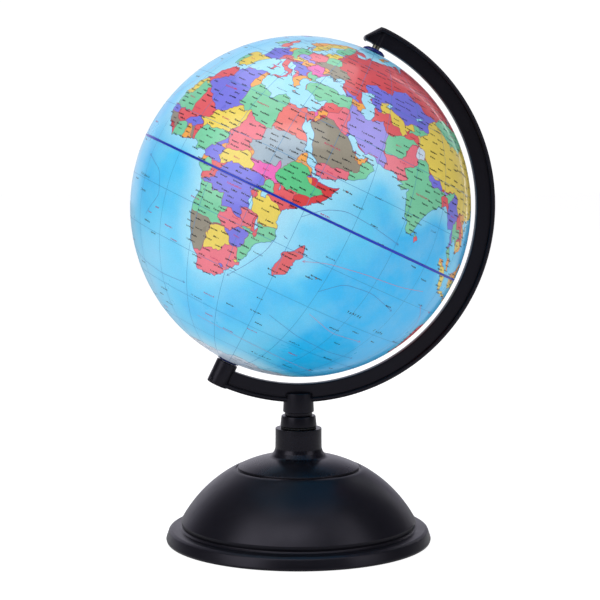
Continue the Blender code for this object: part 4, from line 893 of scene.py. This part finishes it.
def shell(name, side, replaced):
    """One printed half: the map outside, then the rebate, the rim, the bore and the inside."""
    chosen = np.flatnonzero(np.sign(middle[:, 1]) == side)
    used, local = np.unique(triangles[chosen], return_inverse=True)
    local = local.reshape(-1, 3)
    unit = printed(flat[used, 0], flat[used, 1])
    mesh = bpy.data.meshes.new(name)
    mesh.from_pydata((unit * SKIN_R).tolist(), [], local.tolist())
    colours = np.zeros((len(chosen), 3, 4), np.float32)
    fills = np.array([(*FILLS[k][:3], 1.0) for k in names] + [(0, 0, 0, 0)])
    colours[:] = fills[fill[chosen]][:, None, :]
    attribute = mesh.attributes.new("ink", "FLOAT_COLOR", "CORNER")
    attribute.data.foreach_set("color", colours.ravel())
    reach = 1 - np.clip(shut_in(sphere(flat[used, 0], flat[used, 1])) * COAST_GAIN, 0, 1)
    reach += np.clip((flat[used, 0] - DEEP_LON) / 60, -0.18, 0.25)
    attribute = mesh.attributes.new("coast", "FLOAT", "POINT")
    attribute.data.foreach_set("value", reach.astype(np.float32))
    shape = bmesh.new()
    shape.from_mesh(mesh)
    bmesh.ops.remove_doubles(shape, verts=shape.verts, dist=0.00002)
    bmesh.ops.recalc_face_normals(shape, faces=shape.faces)
    if sum(f.normal.dot(f.calc_center_median()) for f in shape.faces) < 0:
        bmesh.ops.reverse_faces(shape, faces=shape.faces)
    rim = [e for e in shape.edges if e.is_boundary]
    low_rim = [e for e in rim if abs(e.verts[0].co.z) < 10 * MM]
    bore = [e for e in rim if abs(e.verts[0].co.z) >= 10 * MM]
    inner_r = (SKIN_R - GLOBE_WALL) / MM
    rings = [low_rim]
    for radius, height in mm([(99.2, 0.9), (99.2, 0.15), (98.2, 0.15)]):
        rings.append(extended(shape, rings[-1], radius, side * height))
    for k in range(1, SHELL_STEPS + 1):
        angle = radians(0.1 + (INNER_TOP - 0.1) * k / SHELL_STEPS)
        radius, height = inner_r * cos(angle) * MM, side * inner_r * sin(angle) * MM
        rings.append(extended(shape, rings[-1], radius, height))
    bmesh.ops.bridge_loops(shape, edges=rings[-1] + bore)
    bmesh.ops.recalc_face_normals(shape, faces=shape.faces)
    shape.to_mesh(mesh)
    shape.free()
    for polygon in mesh.polygons:
        on_skin = all(
            abs(mesh.vertices[i].co.length - SKIN_R) < 0.001 * MM for i in polygon.vertices
        )
        polygon.material_index = 0 if on_skin else 1
    obj = linked(name, mesh)
    mesh.materials.append(MAP_PRINT)
    mesh.materials.append(STYRENE)
    mesh.transform(TILTED)
    finish_piece(obj, "globe", [replaced], 30)


def extended(shape, loop, radius, height):
    """Extrudes a rim to a ring of that radius and height, and returns the new edges."""
    made = bmesh.ops.extrude_edge_only(shape, edges=loop)["geom"]
    for vert in (g for g in made if isinstance(g, bmesh.types.BMVert)):
        scale = radius / hypot(vert.co.x, vert.co.y)
        vert.co = (vert.co.x * scale, vert.co.y * scale, height)
    return [g for g in made if isinstance(g, bmesh.types.BMEdge)]


shell("north_map_shell", 1, "north_hemisphere")
shell("south_map_shell", -1, "south_hemisphere")


# ---------------------------------------------------------------- printed line work


class Ink:
    """Gathers flat printed marks and makes them one piece just above the map."""

    def __init__(self, name, colour):
        self.name = name
        self.look = ink(name, colour)
        self.quads = []

    def lines(self, segments, width):
        """Map segments (n, 2, 2) as strips of that width in metres."""
        self.strokes(
            printed(segments[:, 0, 0], segments[:, 0, 1]),
            printed(segments[:, 1, 0], segments[:, 1, 1]),
            width,
            0.3,
        )

    def strokes(self, start, end, width, overrun=0.0):
        half = width / SKIN_R / 2
        along_line = end - start
        length = np.linalg.norm(along_line, axis=1, keepdims=True)
        along_line = along_line / np.maximum(length, 1e-9)
        across = np.cross(start + end, along_line)
        across /= np.linalg.norm(across, axis=1, keepdims=True)
        start = start - along_line * half * overrun
        end = end + along_line * half * overrun
        quad = np.stack(
            [start - across * half, end - across * half, end + across * half, start + across * half],
            1,
        )
        self.quads.append(quad[length[:, 0] > 1e-6])

    def path(self, points, width, arrow=0.0):
        """A smooth line through map points, with an arrow head where one is wanted."""
        points = subdivided(np.array(points, float), 1.5, False)
        unit = printed(points[:, 0], points[:, 1])
        for _ in range(3):
            unit[1:-1] = (unit[:-2] + 2 * unit[1:-1] + unit[2:]) / 4
        unit /= np.linalg.norm(unit, axis=1, keepdims=True)
        self.strokes(unit[:-1], unit[1:], width, 0.3)
        if arrow:
            tip, back = unit[-1], unit[-1] - unit[-2]
            back /= np.linalg.norm(back)
            side = np.cross(tip, back)
            for sign in (1, -1):
                tail = tip - back * arrow + sign * side * arrow * 0.45
                self.strokes(tail[None], tip[None], width)

    def finish(self):
        quads = np.concatenate(self.quads)
        quads /= np.linalg.norm(quads, axis=2, keepdims=True)
        verts = globe_points(quads.reshape(-1, 3), SKIN_R + INK_LIFT)
        mesh = bpy.data.meshes.new(self.name)
        mesh.from_pydata(verts.tolist(), [], np.arange(len(verts)).reshape(-1, 4).tolist())
        obj = linked(self.name, mesh)
        mesh.materials.append(self.look)
        finish_piece(obj, "globe", sharp=0)


HAIR = 0.2 * MM
BORDER_WIDTH = 0.22 * MM
coast_ink = Ink("coast_ink", srgb(62, 104, 172))
coast_ink.lines(coast_lines, BORDER_WIDTH)
border_ink = Ink("border_ink", srgb(158, 76, 104))
border_ink.lines(border_lines, BORDER_WIDTH)

grid_ink = Ink("graticule_ink", srgb(36, 138, 196))
for lon in range(-165, 195, 15):
    points = np.array([(lon, lat) for lat in np.arange(-85, 85.1, 2.5)])
    grid_ink.lines(np.stack([points[:-1], points[1:]], 1), HAIR)
for lat in range(-75, 90, 15):
    if lat:
        points = np.array([(lon, lat) for lon in np.arange(WEST, EAST + 0.1, 2.5)])
        grid_ink.lines(np.stack([points[:-1], points[1:]], 1), HAIR)

# Marks that stand for place names: strokes in the rhythm of letters, but no letters.
STROKES = {
    "stem": (0.0, 0.0, 0.0, 1.0),
    "right": (0.75, 0.0, 0.75, 0.7),
    "low": (0.0, 0.0, 0.7, 0.0),
    "mid": (0.0, 0.6, 0.7, 0.6),
    "slope": (0.0, 0.9, 0.75, 0.0),
}
GLYPHS = [
    ("stem", "low"),
    ("right", "mid"),
    ("stem", "mid"),
    ("mid", "right", "low"),
    ("stem",),
    ("slope", "stem"),
    ("low", "mid"),
    ("stem", "right", "mid"),
]


def mark(target, lon, lat, letters, height, spacing=0.85, slant=0.0, width=0.16, angle=0.0):
    """A row of letter-like strokes along the parallel through a map place."""
    centre = printed(lon, lat)
    east = np.cross((0, 0, 1), centre)
    east /= np.linalg.norm(east)
    north = np.cross(centre, east)
    east, north = (
        east * cos(angle) + north * sin(angle),
        north * cos(angle) - east * sin(angle),
    )
    size = height / SKIN_R
    starts, stops = [], []
    for k in range(letters):
        tall = 1.0 if k == 0 else rng.choice([0.68, 0.72, 1.0], p=[0.45, 0.35, 0.2])
        for stroke in GLYPHS[rng.integers(len(GLYPHS))]:
            x1, y1, x2, y2 = STROKES[stroke]
            shift = (k - letters / 2) * spacing
            for x, y, out in ((x1, y1, starts), (x2, y2, stops)):
                across = (shift + x * 0.62 + slant * y) * size
                up = (y * tall - 0.4) * size
                out.append(centre + east * across + north * up)
    target.strokes(np.array(starts), np.array(stops), width * height)


name_ink = Ink("name_ink", srgb(16, 10, 26))
sea_ink = Ink("sea_name_ink", srgb(12, 40, 96))
island_ink = Ink("island_ink", srgb(176, 50, 130))
red_ink = Ink("country_name_ink", srgb(206, 62, 104))

placed = []


def crowded(lon, lat, gap=2.7, rows_apart=1.25):
    """Whether a name here would run into one already printed."""
    if not placed:
        return False
    x, y = np.array(placed).T
    return np.hypot((lon - x) * cos(radians(lat)) / gap, (lat - y) / rows_apart).min() < 1


weight = np.cos(np.radians(middle[:, 1])) * area / 2  # square degrees
for k in range(len(countries)):
    here = np.flatnonzero(owner == k)
    size = weight[here].sum()
    if size < 8:
        continue
    centre = (middle[here] * weight[here, None]).sum(0) / size
    letters = int(np.clip(np.sqrt(size) * 0.8, 5, 10))
    height = np.clip(0.6 + np.sqrt(size) * 0.035, 0.8, 1.4) * MM
    title = red_ink if rng.random() < 0.55 and size > 25 else name_ink
    mark(title, centre[0], centre[1], letters, height, 0.9, width=0.3)
    placed.append(centre)

dry = np.flatnonzero(owner != WATER)
share = weight[dry] / weight[dry].sum()
for lon, lat in middle[rng.choice(dry, 4200, p=share)]:
    if abs(lat) < 74 and not crowded(lon, lat, 3.3, 1.55):
        placed.append((lon, lat))
        mark(name_ink, lon, lat, int(rng.integers(6, 10)), 0.92 * MM, 0.72, width=0.34)

shore = coast_lines.mean(1)
for lon, lat in shore[rng.choice(len(shore), 900, replace=False)]:
    if abs(lat) < 72 and not crowded(lon, lat, 3.6, 1.2):
        placed.append((lon, lat))
        target = island_ink if rng.random() < 0.1 else name_ink
        mark(target, lon, lat, int(rng.integers(8, 12)), 0.84 * MM, 0.72, width=0.33)

SEA_NAMES = """
76 -26 1.75 6; 91 -28.5 1.75 5; -15 -14 1.6 8; -14 -19 1.6 5; -38 34 1.8 8; -36 29 1.8 5;
-150 24 1.8 7; -138 20 1.8 5; 165 30 1.8 7; 172 26 1.8 5; -118 -22 1.8 7; -108 -26 1.8 5;
-40 -34 1.6 8; 60 -58 1.5 8; -20 -60 1.5 8; 120 -56 1.5 8; -140 -58 1.5 8; 64 15 1.0 6;
88 13 1.0 6; 114 14 1.0 6; 160 -38 1.0 6; 38 -21 0.9 8; 20 34 0.8 10; -88 25 1.0 6; -74 15 1.0 7;
-28 60 1.0 5; 3 58 0.8 5; 150 52 1.0 7; 136 40 0.9 5; -60 58 1.0 6; -86 60 1.0 5; 40 74 0.9 6;
100 -14 1.0 7; 58 -12 1.0 7; 66 -44 1.1 8; 20 -44 1.1 8; -95 -8 1.1 8; -150 -40 1.1 8;
"""
for entry in SEA_NAMES.split(";"):
    if entry.split():
        lon, lat, height, letters = map(float, entry.split())
        strong = height > 1.4
        target = name_ink if strong else sea_ink
        mark(target, lon, lat, int(letters), height * MM, 1.1 if strong else 0.85, 0.3, 0.2)
        placed.append((lon, lat))

for _ in range(420):
    lon = rng.uniform(WEST + 4, EAST - 4)
    lat = degrees(asin(rng.uniform(-0.85, 0.9)))
    far = degrees(coast_tree.find(sphere(lon, lat))[2])
    if far < 4 or crowded(lon, lat, 7, 3):
        continue
    placed.append((lon, lat))
    island = rng.random() < 0.3
    target = island_ink if island else name_ink
    mark(target, lon, lat, int(rng.integers(6, 12)), 0.86 * MM, 0.74, width=0.32)

CURRENTS = """
45 -3 50 3 56 6 66 5 76 3; 96 -9 84 -11 70 -12 58 -14 51 -17; 41 -13 40 -19 36 -26 31 -32;
50 -38 64 -41 80 -42 96 -41; 108 -33 110 -26 107 -19 100 -14; -10 -26 -3 -18 -6 -10 -16 -6;
-30 -38 -16 -41 0 -42 14 -41; -22 -2 -30 2 -40 5 -48 8; -76 30 -70 36 -58 40 -44 43;
-40 46 -26 52 -12 57 2 62; -20 40 -18 32 -20 24 -28 18; 130 24 138 31 150 36 164 38;
-130 46 -128 38 -122 30 -116 24; -86 -36 -80 -28 -76 -20 -82 -12; -100 -6 -120 -5 -140 -5 -160 -6;
156 -24 158 -32 156 -40 166 -44; -140 12 -158 12 -168 13; 172 12 156 13 140 14;
-120 -56 -100 -57 -80 -58 -62 -58; 20 -52 44 -53 68 -54 92 -55; 120 -52 144 -54 168 -58;
60 -24 66 -18 76 -17 88 -20; 62 -32 74 -35 88 -34;
"""
ARROW = 1.5 * MM / SKIN_R
current_ink = Ink("current_ink", srgb(70, 96, 178))
warm_ink = Ink("warm_current_ink", srgb(206, 104, 150))
for k, entry in enumerate(CURRENTS.split(";")):
    if entry.split():
        points = np.array(entry.split(), float).reshape(-1, 2)
        (warm_ink if k % 3 == 1 else current_ink).path(points, HAIR, ARROW)

place_inks = [name_ink, red_ink, sea_ink, island_ink]
for piece in [coast_ink, border_ink, grid_ink, *place_inks, current_ink, warm_ink]:
    piece.finish()


# ---------------------------------------------------------------- base, in millimetres

DOME_R = 77.4
DOME_X = 2.2
DOME_Z = -24.8
DOME_WALL = 2.3
SHOULDER_Z = 12.3
FOLD_R = 69.6  # the groove between the dome and the rim
FOLD_Z = 9.2
RIM_R = 79.2
RIM_TOP = 7.9
RIM_BOTTOM = 0.5
RIM_INNER_R = 76.6
RIM_UNDERSIDE = 5.0
SEAT = 43.5
UNDER_SEAT = SEAT - DOME_WALL
CROWN_HOLE_R = 15.0
GROOVE_IN = 36.2  # a thin groove in the seat, just outside the disc
GROOVE_OUT = 37.3
GROOVE_DEPTH = 0.6
shoulder_turn = asin((SHOULDER_Z - DOME_Z) / DOME_R)
seat_turn = asin((SEAT - 0.3 - DOME_Z) / DOME_R)
inner_turn = asin((UNDER_SEAT - DOME_Z) / (DOME_R - DOME_WALL))
turned(
    "base_dome_skin",
    [
        *plain(arc(DOME_R, seat_turn, shoulder_turn, 40, DOME_X, DOME_Z)),
        (FOLD_R + 0.4, FOLD_Z + 1.4, 1.2),
        (FOLD_R, FOLD_Z, 0.5),
        (FOLD_R + 1.0, FOLD_Z - 0.9, 0.5),
        (RIM_R - 3.4, RIM_TOP, 1.8),
        (RIM_R - 1.7, RIM_TOP - 1.0, 1.4),
        (RIM_R, RIM_BOTTOM + 1.3, 0.6),
        (RIM_R - 0.4, RIM_BOTTOM, 0.4),
        (RIM_INNER_R, RIM_BOTTOM, 0.3),
        (RIM_INNER_R, RIM_UNDERSIDE, 0.3),
        (66.3, RIM_UNDERSIDE, 0.3),
        *plain(arc(DOME_R - DOME_WALL, shoulder_turn, inner_turn, 24, DOME_X, DOME_Z)),
        (CROWN_HOLE_R, UNDER_SEAT, 0.2),
        (CROWN_HOLE_R, SEAT, 0.2),
        (GROOVE_IN - 0.2, SEAT, 0.2),
        (GROOVE_IN, SEAT - GROOVE_DEPTH, 0.2),
        (GROOVE_OUT, SEAT - GROOVE_DEPTH, 0.2),
        (GROOVE_OUT + 0.4, SEAT, 0.35),
    ],
    "base",
    BLACK,
    160,
    "base_dome",
)

NECK_TOP = 67.6
NECK_R = 13.8
NECK_FOOT_R = 14.3
SOCKET_R = 9.6
SOCKET_FLOOR = 57.0
CAVITY_TOP = 53.3  # top of the hollow under the disc, where the stem screw goes in
CAVITY_R = 8.5
SCREW_HOLE_R = 1.9
DISC_R = 36.2
DISC_TOP = 44.5
DISC_BOTTOM = 43.6
DISC_STEPS = 22
DISC_RISE = 6.4
DISC_BULGE = 1.15
disc_face = [
    (DISC_R + (NECK_FOOT_R - DISC_R) * t, DISC_TOP + DISC_RISE * t + 4 * DISC_BULGE * t * (1 - t), 0)
    for t in [0.85 - 0.82 * k / DISC_STEPS for k in range(DISC_STEPS + 1)]
]
turned(
    "neck_and_disc",
    [
        (SOCKET_R, NECK_TOP, 0.25),
        (NECK_R, NECK_TOP, 0.3),
        (NECK_R, NECK_TOP - 6.0, 3.0),
        (NECK_R + 0.1, NECK_TOP - 12.0, 1.5),
        (14.6, 53.5, 0.8),
        (16.3, 51.2, 1.2),
        *disc_face,
        (DISC_R, DISC_TOP, 0.4),
        (DISC_R, DISC_BOTTOM, 0.2),
        (CAVITY_R, DISC_BOTTOM, 0.2),
        (CAVITY_R, CAVITY_TOP, 0.2),
        (SCREW_HOLE_R, CAVITY_TOP, 0.1),
        (SCREW_HOLE_R, SOCKET_FLOOR, 0.1),
        (SOCKET_R, SOCKET_FLOOR, 0.2),
    ],
    "base",
    BLACK_TURNED,
    128,
    "neck_socket",
)


# ---------------------------------------------------------------- arm, in millimetres

COLLAR_TOP = 75.2
COLLAR_STEP = 68.9
COLLAR_BOTTOM = 58.0
COLLAR_BORE_R = 6.3
COLLAR_SPIGOT_R = 9.2
turned(
    "collar",
    [
        (COLLAR_BORE_R, COLLAR_TOP, 0.15),
        (10.15, COLLAR_TOP, 0.55),
        (10.9, COLLAR_STEP, 0.5),
        (COLLAR_SPIGOT_R, COLLAR_STEP, 0.1),
        (COLLAR_SPIGOT_R, COLLAR_BOTTOM, 0.4),
        (COLLAR_BORE_R, COLLAR_BOTTOM, 0.2),
    ],
    "arm",
    BLACK_TURNED,
    96,
    "swivel_collar",
)


def polar(radius, angle):
    """A point in the tilted XZ plane, at an angle from the north pole."""
    return radius * sin(angle), radius * cos(angle)


def rounded_plate(outline, half_depth, edge):
    """A bmesh plate in the XZ plane whose two rims are rounded over."""
    plate = bmesh.new()
    front = [plate.verts.new((x, -half_depth, z)) for x, z in outline]
    back = [plate.verts.new((x, half_depth, z)) for x, z in outline]
    plate.faces.new(front)
    plate.faces.new(list(reversed(back)))
    count = len(outline)
    for i in range(count):
        n = (i + 1) % count
        plate.faces.new((front[n], front[i], back[i], back[n]))
    bmesh.ops.recalc_face_normals(plate, faces=plate.faces)
    rims = [e for e in plate.edges if abs(e.verts[0].co.y - e.verts[1].co.y) < 1e-9]
    bmesh.ops.bevel(
        plate, geom=rims, offset=edge, segments=3, profile=0.5, affect="EDGES", clamp_overlap=False
    )
    flats = [f for f in plate.faces if len(f.verts) > 8]
    bmesh.ops.inset_individual(plate, faces=flats, thickness=0.2 * MM, use_even_offset=True)
    return plate


def swept(path, thickness, section):
    """A bmesh strip along an open path in the XZ plane. The section's first value runs inwards
    from the path, as a share of the thickness there, and its second one is the depth."""
    strip = bmesh.new()
    points = [Vector(p) for p in path]
    left = []
    for a, b in zip(points, points[1:]):
        along = (b - a).normalized()
        left.append(Vector((-along.y, along.x)))
    rings = []
    for i, point in enumerate(points):
        a, b = left[max(i - 1, 0)], left[min(i, len(left) - 1)]
        mitre = (a + b) / (1 + a.dot(b))
        ring = []
        for share, depth in section:
            at = point - mitre * share * thickness[i]
            ring.append(strip.verts.new((at.x, depth, at.y)))
        rings.append(ring)
    count = len(section)
    for one, two in zip(rings, rings[1:]):
        for k in range(count):
            n = (k + 1) % count
            strip.faces.new((one[k], one[n], two[n], two[k]))
    strip.faces.new(rings[0])
    strip.faces.new(rings[-1])
    return strip


def object_from(shape, name):
    mesh = bpy.data.meshes.new(name)
    bmesh.ops.recalc_face_normals(shape, faces=shape.faces)
    shape.to_mesh(mesh)
    shape.free()
    return linked(name, mesh)


def turned_helper(name, profile, segments, matrix=None):
    """A solid of revolution that is joined to another piece or cut from it."""
    shape = bmesh.new()
    shape.from_mesh(lathed_mesh(name, profile, segments, matrix))
    return object_from(shape, name)


def drilled(target, cutters):
    for other in cutters:
        modifier = target.modifiers.new(other.name, "BOOLEAN")
        modifier.operation = "DIFFERENCE"
        modifier.solver = "EXACT"
        modifier.object = other
        graph = bpy.context.evaluated_depsgraph_get()
        result = bpy.data.meshes.new_from_object(target.evaluated_get(graph))
        target.modifiers.clear()
        target.data = result
        bpy.data.objects.remove(other)


ARM_R = 115.6
WEB_R = 114.4
ARM_INNER_R = 104.8
NOSE_X = -6.9
NOSE_Z = 106.4
NOSE_R = 2.0
ARM_STEPS = 110
WEB_HALF = 3.3
FLANGE = 2.6
FLANGE_HALF = 5.3
FLANGE_CROWN = 1.7  # the rounded outer edge of the flange, which carries the thin highlight
EDGE_R = 0.5
SOUTH = pi - asin(-5.6 / ARM_R)


def arm_arc(radius):
    return [polar(radius, SOUTH * i / ARM_STEPS) for i in range(ARM_STEPS + 1)]


peak = polar(ARM_R, asin(-2.3 / ARM_R))
slope = hypot(peak[0] - NOSE_X, peak[1] - NOSE_Z)
lean = pi - asin((peak[0] - NOSE_X) / slope)
nose = arc(NOSE_R, 1.5 * pi, lean, 8, NOSE_X, NOSE_Z)
web_nose = arc(NOSE_R - 0.4, 1.5 * pi, lean, 8, NOSE_X, NOSE_Z)
tip = nose[-1]
nose += [
    (tip[0] + share * (peak[0] - tip[0]), tip[1] + share * (peak[1] - tip[1]))
    for share in (0.3, 0.6, 0.96)
]
web_outline = mm(web_nose + arm_arc(WEB_R) + arm_arc(ARM_INNER_R)[::-1])
web = object_from(rounded_plate(web_outline, WEB_HALF * MM, EDGE_R * MM), "web")
strip_section = (
    arc(FLANGE_CROWN, pi, 1.5 * pi, 6, FLANGE_CROWN, FLANGE_CROWN - FLANGE_HALF)
    + arc(EDGE_R, 1.5 * pi, tau, 3, FLANGE - EDGE_R, EDGE_R - FLANGE_HALF)
    + arc(EDGE_R, 0, 0.5 * pi, 3, FLANGE - EDGE_R, FLANGE_HALF - EDGE_R)
    + arc(FLANGE_CROWN, 0.5 * pi, pi, 6, FLANGE_CROWN, FLANGE_HALF - FLANGE_CROWN)
)
strip_path = mm(nose + arm_arc(ARM_R))
thickness = [1.6] * 9 + [2.0, 2.3]  # thinner round the nose
thickness += [FLANGE] * (len(strip_path) - len(thickness))
flange = object_from(
    swept(
        strip_path,
        [t * MM for t in thickness],
        [(share / FLANGE, depth * MM) for share, depth in strip_section],
    ),
    "flange",
)


def peg(name, radius, start, end, fillets, segments, matrix=None):
    """A solid round bar along the axis, with a fillet at each end."""
    profile = [(0, start, 0), (radius, start, fillets[0]), (radius, end, fillets[1]), (0, end, 0)]
    return turned_helper(name, profile, segments, matrix)


boss = peg("boss", 6.5, -101.3, -116.0, (0.5, 0.8), 72)
pin_boss = peg("pin_boss", 3.55, 113.6, 104.5, (0.4, 0.3), 48)
upright = TILTED.inverted()
STEM_TOP = 89.0
STEM_SHOULDER = 75.5  # where the stem narrows to enter the collar
STEM_END = 57.3
STEM_R = 6.0
STEM_GROOVE_R = 8.2
stem = turned_helper(
    "stem",
    [
        (0, STEM_TOP, 0),
        (8.7, STEM_TOP, 0.6),
        (9.25, STEM_SHOULDER + 2.0, 0.5),
        (STEM_GROOVE_R, STEM_SHOULDER + 1.7, 0.1),
        (STEM_GROOVE_R, STEM_SHOULDER, 0.1),
        (STEM_R, STEM_SHOULDER, 0),
        (STEM_R, STEM_END, 0.2),
        (0, STEM_END, 0),
    ],
    96,
    upright,
)
PIN_BORE_R = 2.55
PIN_BORE_END = 112.8
PIN_START = 90
WASHER_BORE_R = 4.5
WASHER_BORE_END = 102.5


def bore(name, radius, start, end, matrix=None):
    return peg(name, radius, start, end, (0, 0), 36, matrix)


drilled(pin_boss, [bore("north_bore", PIN_BORE_R, PIN_BORE_END, PIN_START)])
drilled(
    boss,
    [
        bore("south_bore", PIN_BORE_R, -PIN_START, -PIN_BORE_END),
        bore("washer_bore", WASHER_BORE_R, -PIN_START, -WASHER_BORE_END),
    ],
)
drilled(stem, [bore("stem_bore", SCREW_HOLE_R, 72.3, 55, upright)])
together = bmesh.new()
for piece in (web, flange, boss, pin_boss, stem):
    together.from_mesh(piece.data)
    bpy.data.objects.remove(piece)
arm = object_from(together, "meridian_arm_moulded")
arm.data.transform(TILTED)
finish_piece(arm, "arm", ["meridian_arm"], 26)
arm.data.materials.clear()
arm.data.materials.append(BLACK)


# ---------------------------------------------------------------- pins, caps, bushes, tape

FLIPPED = TILTED @ Matrix.Rotation(pi, 4, "X")
PIN_R = 2.25
PIN_END = 112.5
CAP_SEAT = 100.15
BUSH_TOP = 99.85
BUSH_BOTTOM = 92.0
BUSH_R = 3.8
FLANGE_TOP = 97.0  # the bush's own flange, inside the shell
FLANGE_BOTTOM = 95.5
FLANGE_R = 7.5

for pole, side in (("north", TILTED), ("south", FLIPPED)):
    turned(
        f"{pole}_pin_turned",
        [(0, PIN_END, 0), (PIN_R, PIN_END, 0.4), (PIN_R, PIN_START, 0.4), (0, PIN_START, 0)],
        "arm",
        BRASSY,
        40,
        f"{pole}_pin",
        side,
    )

for pole, side, thick in (("north", TILTED, 2.1), ("south", FLIPPED, 0.8)):
    turned(
        f"{pole}_cap_moulded",
        [
            (PIN_BORE_R, CAP_SEAT + thick, 0.15),
            (4.9, CAP_SEAT + thick, 1.1),
            (6.7, CAP_SEAT + 0.42 * thick, 0.4),
            (6.8, CAP_SEAT, 0.1),
            (PIN_BORE_R, CAP_SEAT, 0.1),
        ],
        "globe",
        NAVY,
        72,
        f"{pole}_cap",
        side,
    )
    turned(
        f"{pole}_bush_turned",
        [
            (PIN_BORE_R, BUSH_TOP, 0.1),
            (BUSH_R, BUSH_TOP, 0.15),
            (BUSH_R, FLANGE_TOP, 0),
            (FLANGE_R, FLANGE_TOP, 0.3),
            (FLANGE_R, FLANGE_BOTTOM, 0.3),
            (BUSH_R, FLANGE_BOTTOM, 0),
            (BUSH_R, BUSH_BOTTOM, 0.3),
            (PIN_BORE_R, BUSH_BOTTOM, 0.2),
        ],
        "globe",
        NYLON,
        48,
        f"{pole}_bush",
        side,
    )

TAPE_R = 100.05
TAPE_HALF = 0.6
TAPE_INNER_R = 99.5
turned(
    "equator_tape_band",
    [
        (TAPE_R, TAPE_HALF, 0.12),
        (TAPE_R, -TAPE_HALF, 0.12),
        (TAPE_INNER_R, -TAPE_HALF, 0),
        (TAPE_INNER_R, TAPE_HALF, 0),
    ],
    "globe",
    TAPE,
    240,
    "equator_tape",
    TILTED,
)

KEPT = {
    "foot_pad": FOAM,
    "bottom_cover": HIDDEN_BLACK,
    "ballast_plate": IRON,
    "friction_washer": FOAM,
    "stem_screw": STEEL,
    "stem_washer": STEEL,
    "thrust_washer": NYLON,
    "joint_ring": STYRENE,
    **{f"cover_screw_{i}": STEEL for i in (1, 2, 3)},
    **{f"neck_screw_{i}": STEEL for i in (1, 2, 3)},
}
for name, look in KEPT.items():
    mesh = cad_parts[name].data
    mesh.materials.clear()
    mesh.materials.append(look)


# ---------------------------------------------------------------- studio


AIM = Vector((0, 0, 0.17))


def area_light(name, size, power, place_at):
    data = bpy.data.lights.new(name, "AREA")
    data.shape = "RECTANGLE"
    data.size, data.size_y = size
    data.energy = power
    lamp = linked(name, data)
    lamp.location = place_at
    direction = AIM - Vector(place_at)
    lamp.rotation_euler = direction.to_track_quat("-Z", "Y").to_euler()


area_light("key_left", (1.3, 1.9), 18.0, (-1.4, -1.0, 1.2))
area_light("key_right", (0.9, 1.7), 7.5, (1.35, -0.95, 1.15))
area_light("front_fill", (1.5, 0.7), 11.5, (-0.2, -1.6, 2.1))
area_light("overhead", (1.3, 1.3), 10, (0.0, 0.1, 1.6))
area_light("edge_strip", (0.022, 1.1), 0.4, (0.8, 0.95, 0.55))

floor_mesh = bpy.data.meshes.new("floor")
FLOOR = 6.0
floor_mesh.from_pydata(
    [(-FLOOR, -FLOOR, 0), (FLOOR, -FLOOR, 0), (FLOOR, FLOOR, 0), (-FLOOR, FLOOR, 0)],
    [],
    [(0, 1, 2, 3)],
)
floor = linked("floor", floor_mesh)
paper = Nodes("white_sweep")
paper.principled(Base_Color=grey(0.35), Roughness=0.9, Emission_Color=grey(1.0))
rays = paper.add("LightPath").outputs
bounce = paper.remap(rays["Is Camera Ray"], 0.0, 1.0, 0.76, 0.92)
paper.principled(
    Emission_Strength=paper.math(
        "SUBTRACT", bounce, paper.remap(rays["Is Glossy Ray"], 0.0, 1.0, 0.0, 0.46)
    )
)
floor_mesh.materials.append(paper.material)

BACKDROP = (-0.12, 0.99, 0.1)  # where the bright sweep behind the globe is
world = bpy.data.worlds.new("studio")
scene.world = world
world.use_nodes = True
tree = world.node_tree
tree.nodes.clear()
output = tree.nodes.new("ShaderNodeOutputWorld")
surround = tree.nodes.new("ShaderNodeBackground")
surround.inputs["Strength"].default_value = 1.0
white = tree.nodes.new("ShaderNodeBackground")
white.inputs["Color"].default_value = grey(1.0)
white.inputs["Strength"].default_value = 1.05
path = tree.nodes.new("ShaderNodeLightPath")
choice = tree.nodes.new("ShaderNodeMixShader")
coordinate = tree.nodes.new("ShaderNodeTexCoord")
toward = tree.nodes.new("ShaderNodeVectorMath")
toward.operation = "DOT_PRODUCT"
toward.inputs[1].default_value = BACKDROP
tree.links.new(coordinate.outputs["Generated"], toward.inputs[0])
shade = tree.nodes.new("ShaderNodeValToRGB")
tree.links.new(toward.outputs["Value"], shade.inputs["Fac"])
stops = shade.color_ramp.elements
stops[0].color = (0.075, 0.07, 0.09, 1)
stops[1].position = 0.7
stops[1].color = (0.17, 0.16, 0.2, 1)
stops.new(0.82).color = (0.34, 0.32, 0.42, 1)
stops.new(0.93).color = (0.85, 0.83, 0.95, 1)
tree.links.new(shade.outputs["Color"], surround.inputs["Color"])
tree.links.new(path.outputs["Is Camera Ray"], choice.inputs[0])
tree.links.new(surround.outputs[0], choice.inputs[1])
tree.links.new(white.outputs[0], choice.inputs[2])
tree.links.new(choice.outputs[0], output.inputs["Surface"])

CAMERA_DISTANCE = 1.0
CAMERA_HEIGHT = 0.242
TURN = radians(4.94)
DOWN = radians(5.59)
camera_data = bpy.data.cameras.new("camera")
camera_data.lens = 101.76
camera_data.sensor_width = 36
camera_data.shift_x = 0.0025
camera = linked("camera", camera_data)
camera.location = (-CAMERA_DISTANCE * sin(TURN), -CAMERA_DISTANCE * cos(TURN), CAMERA_HEIGHT)
camera.rotation_euler = (pi / 2 - DOWN, 0, -TURN)
scene.camera = camera
scene.view_settings.view_transform = "Standard"
scene.view_settings.look = "None"
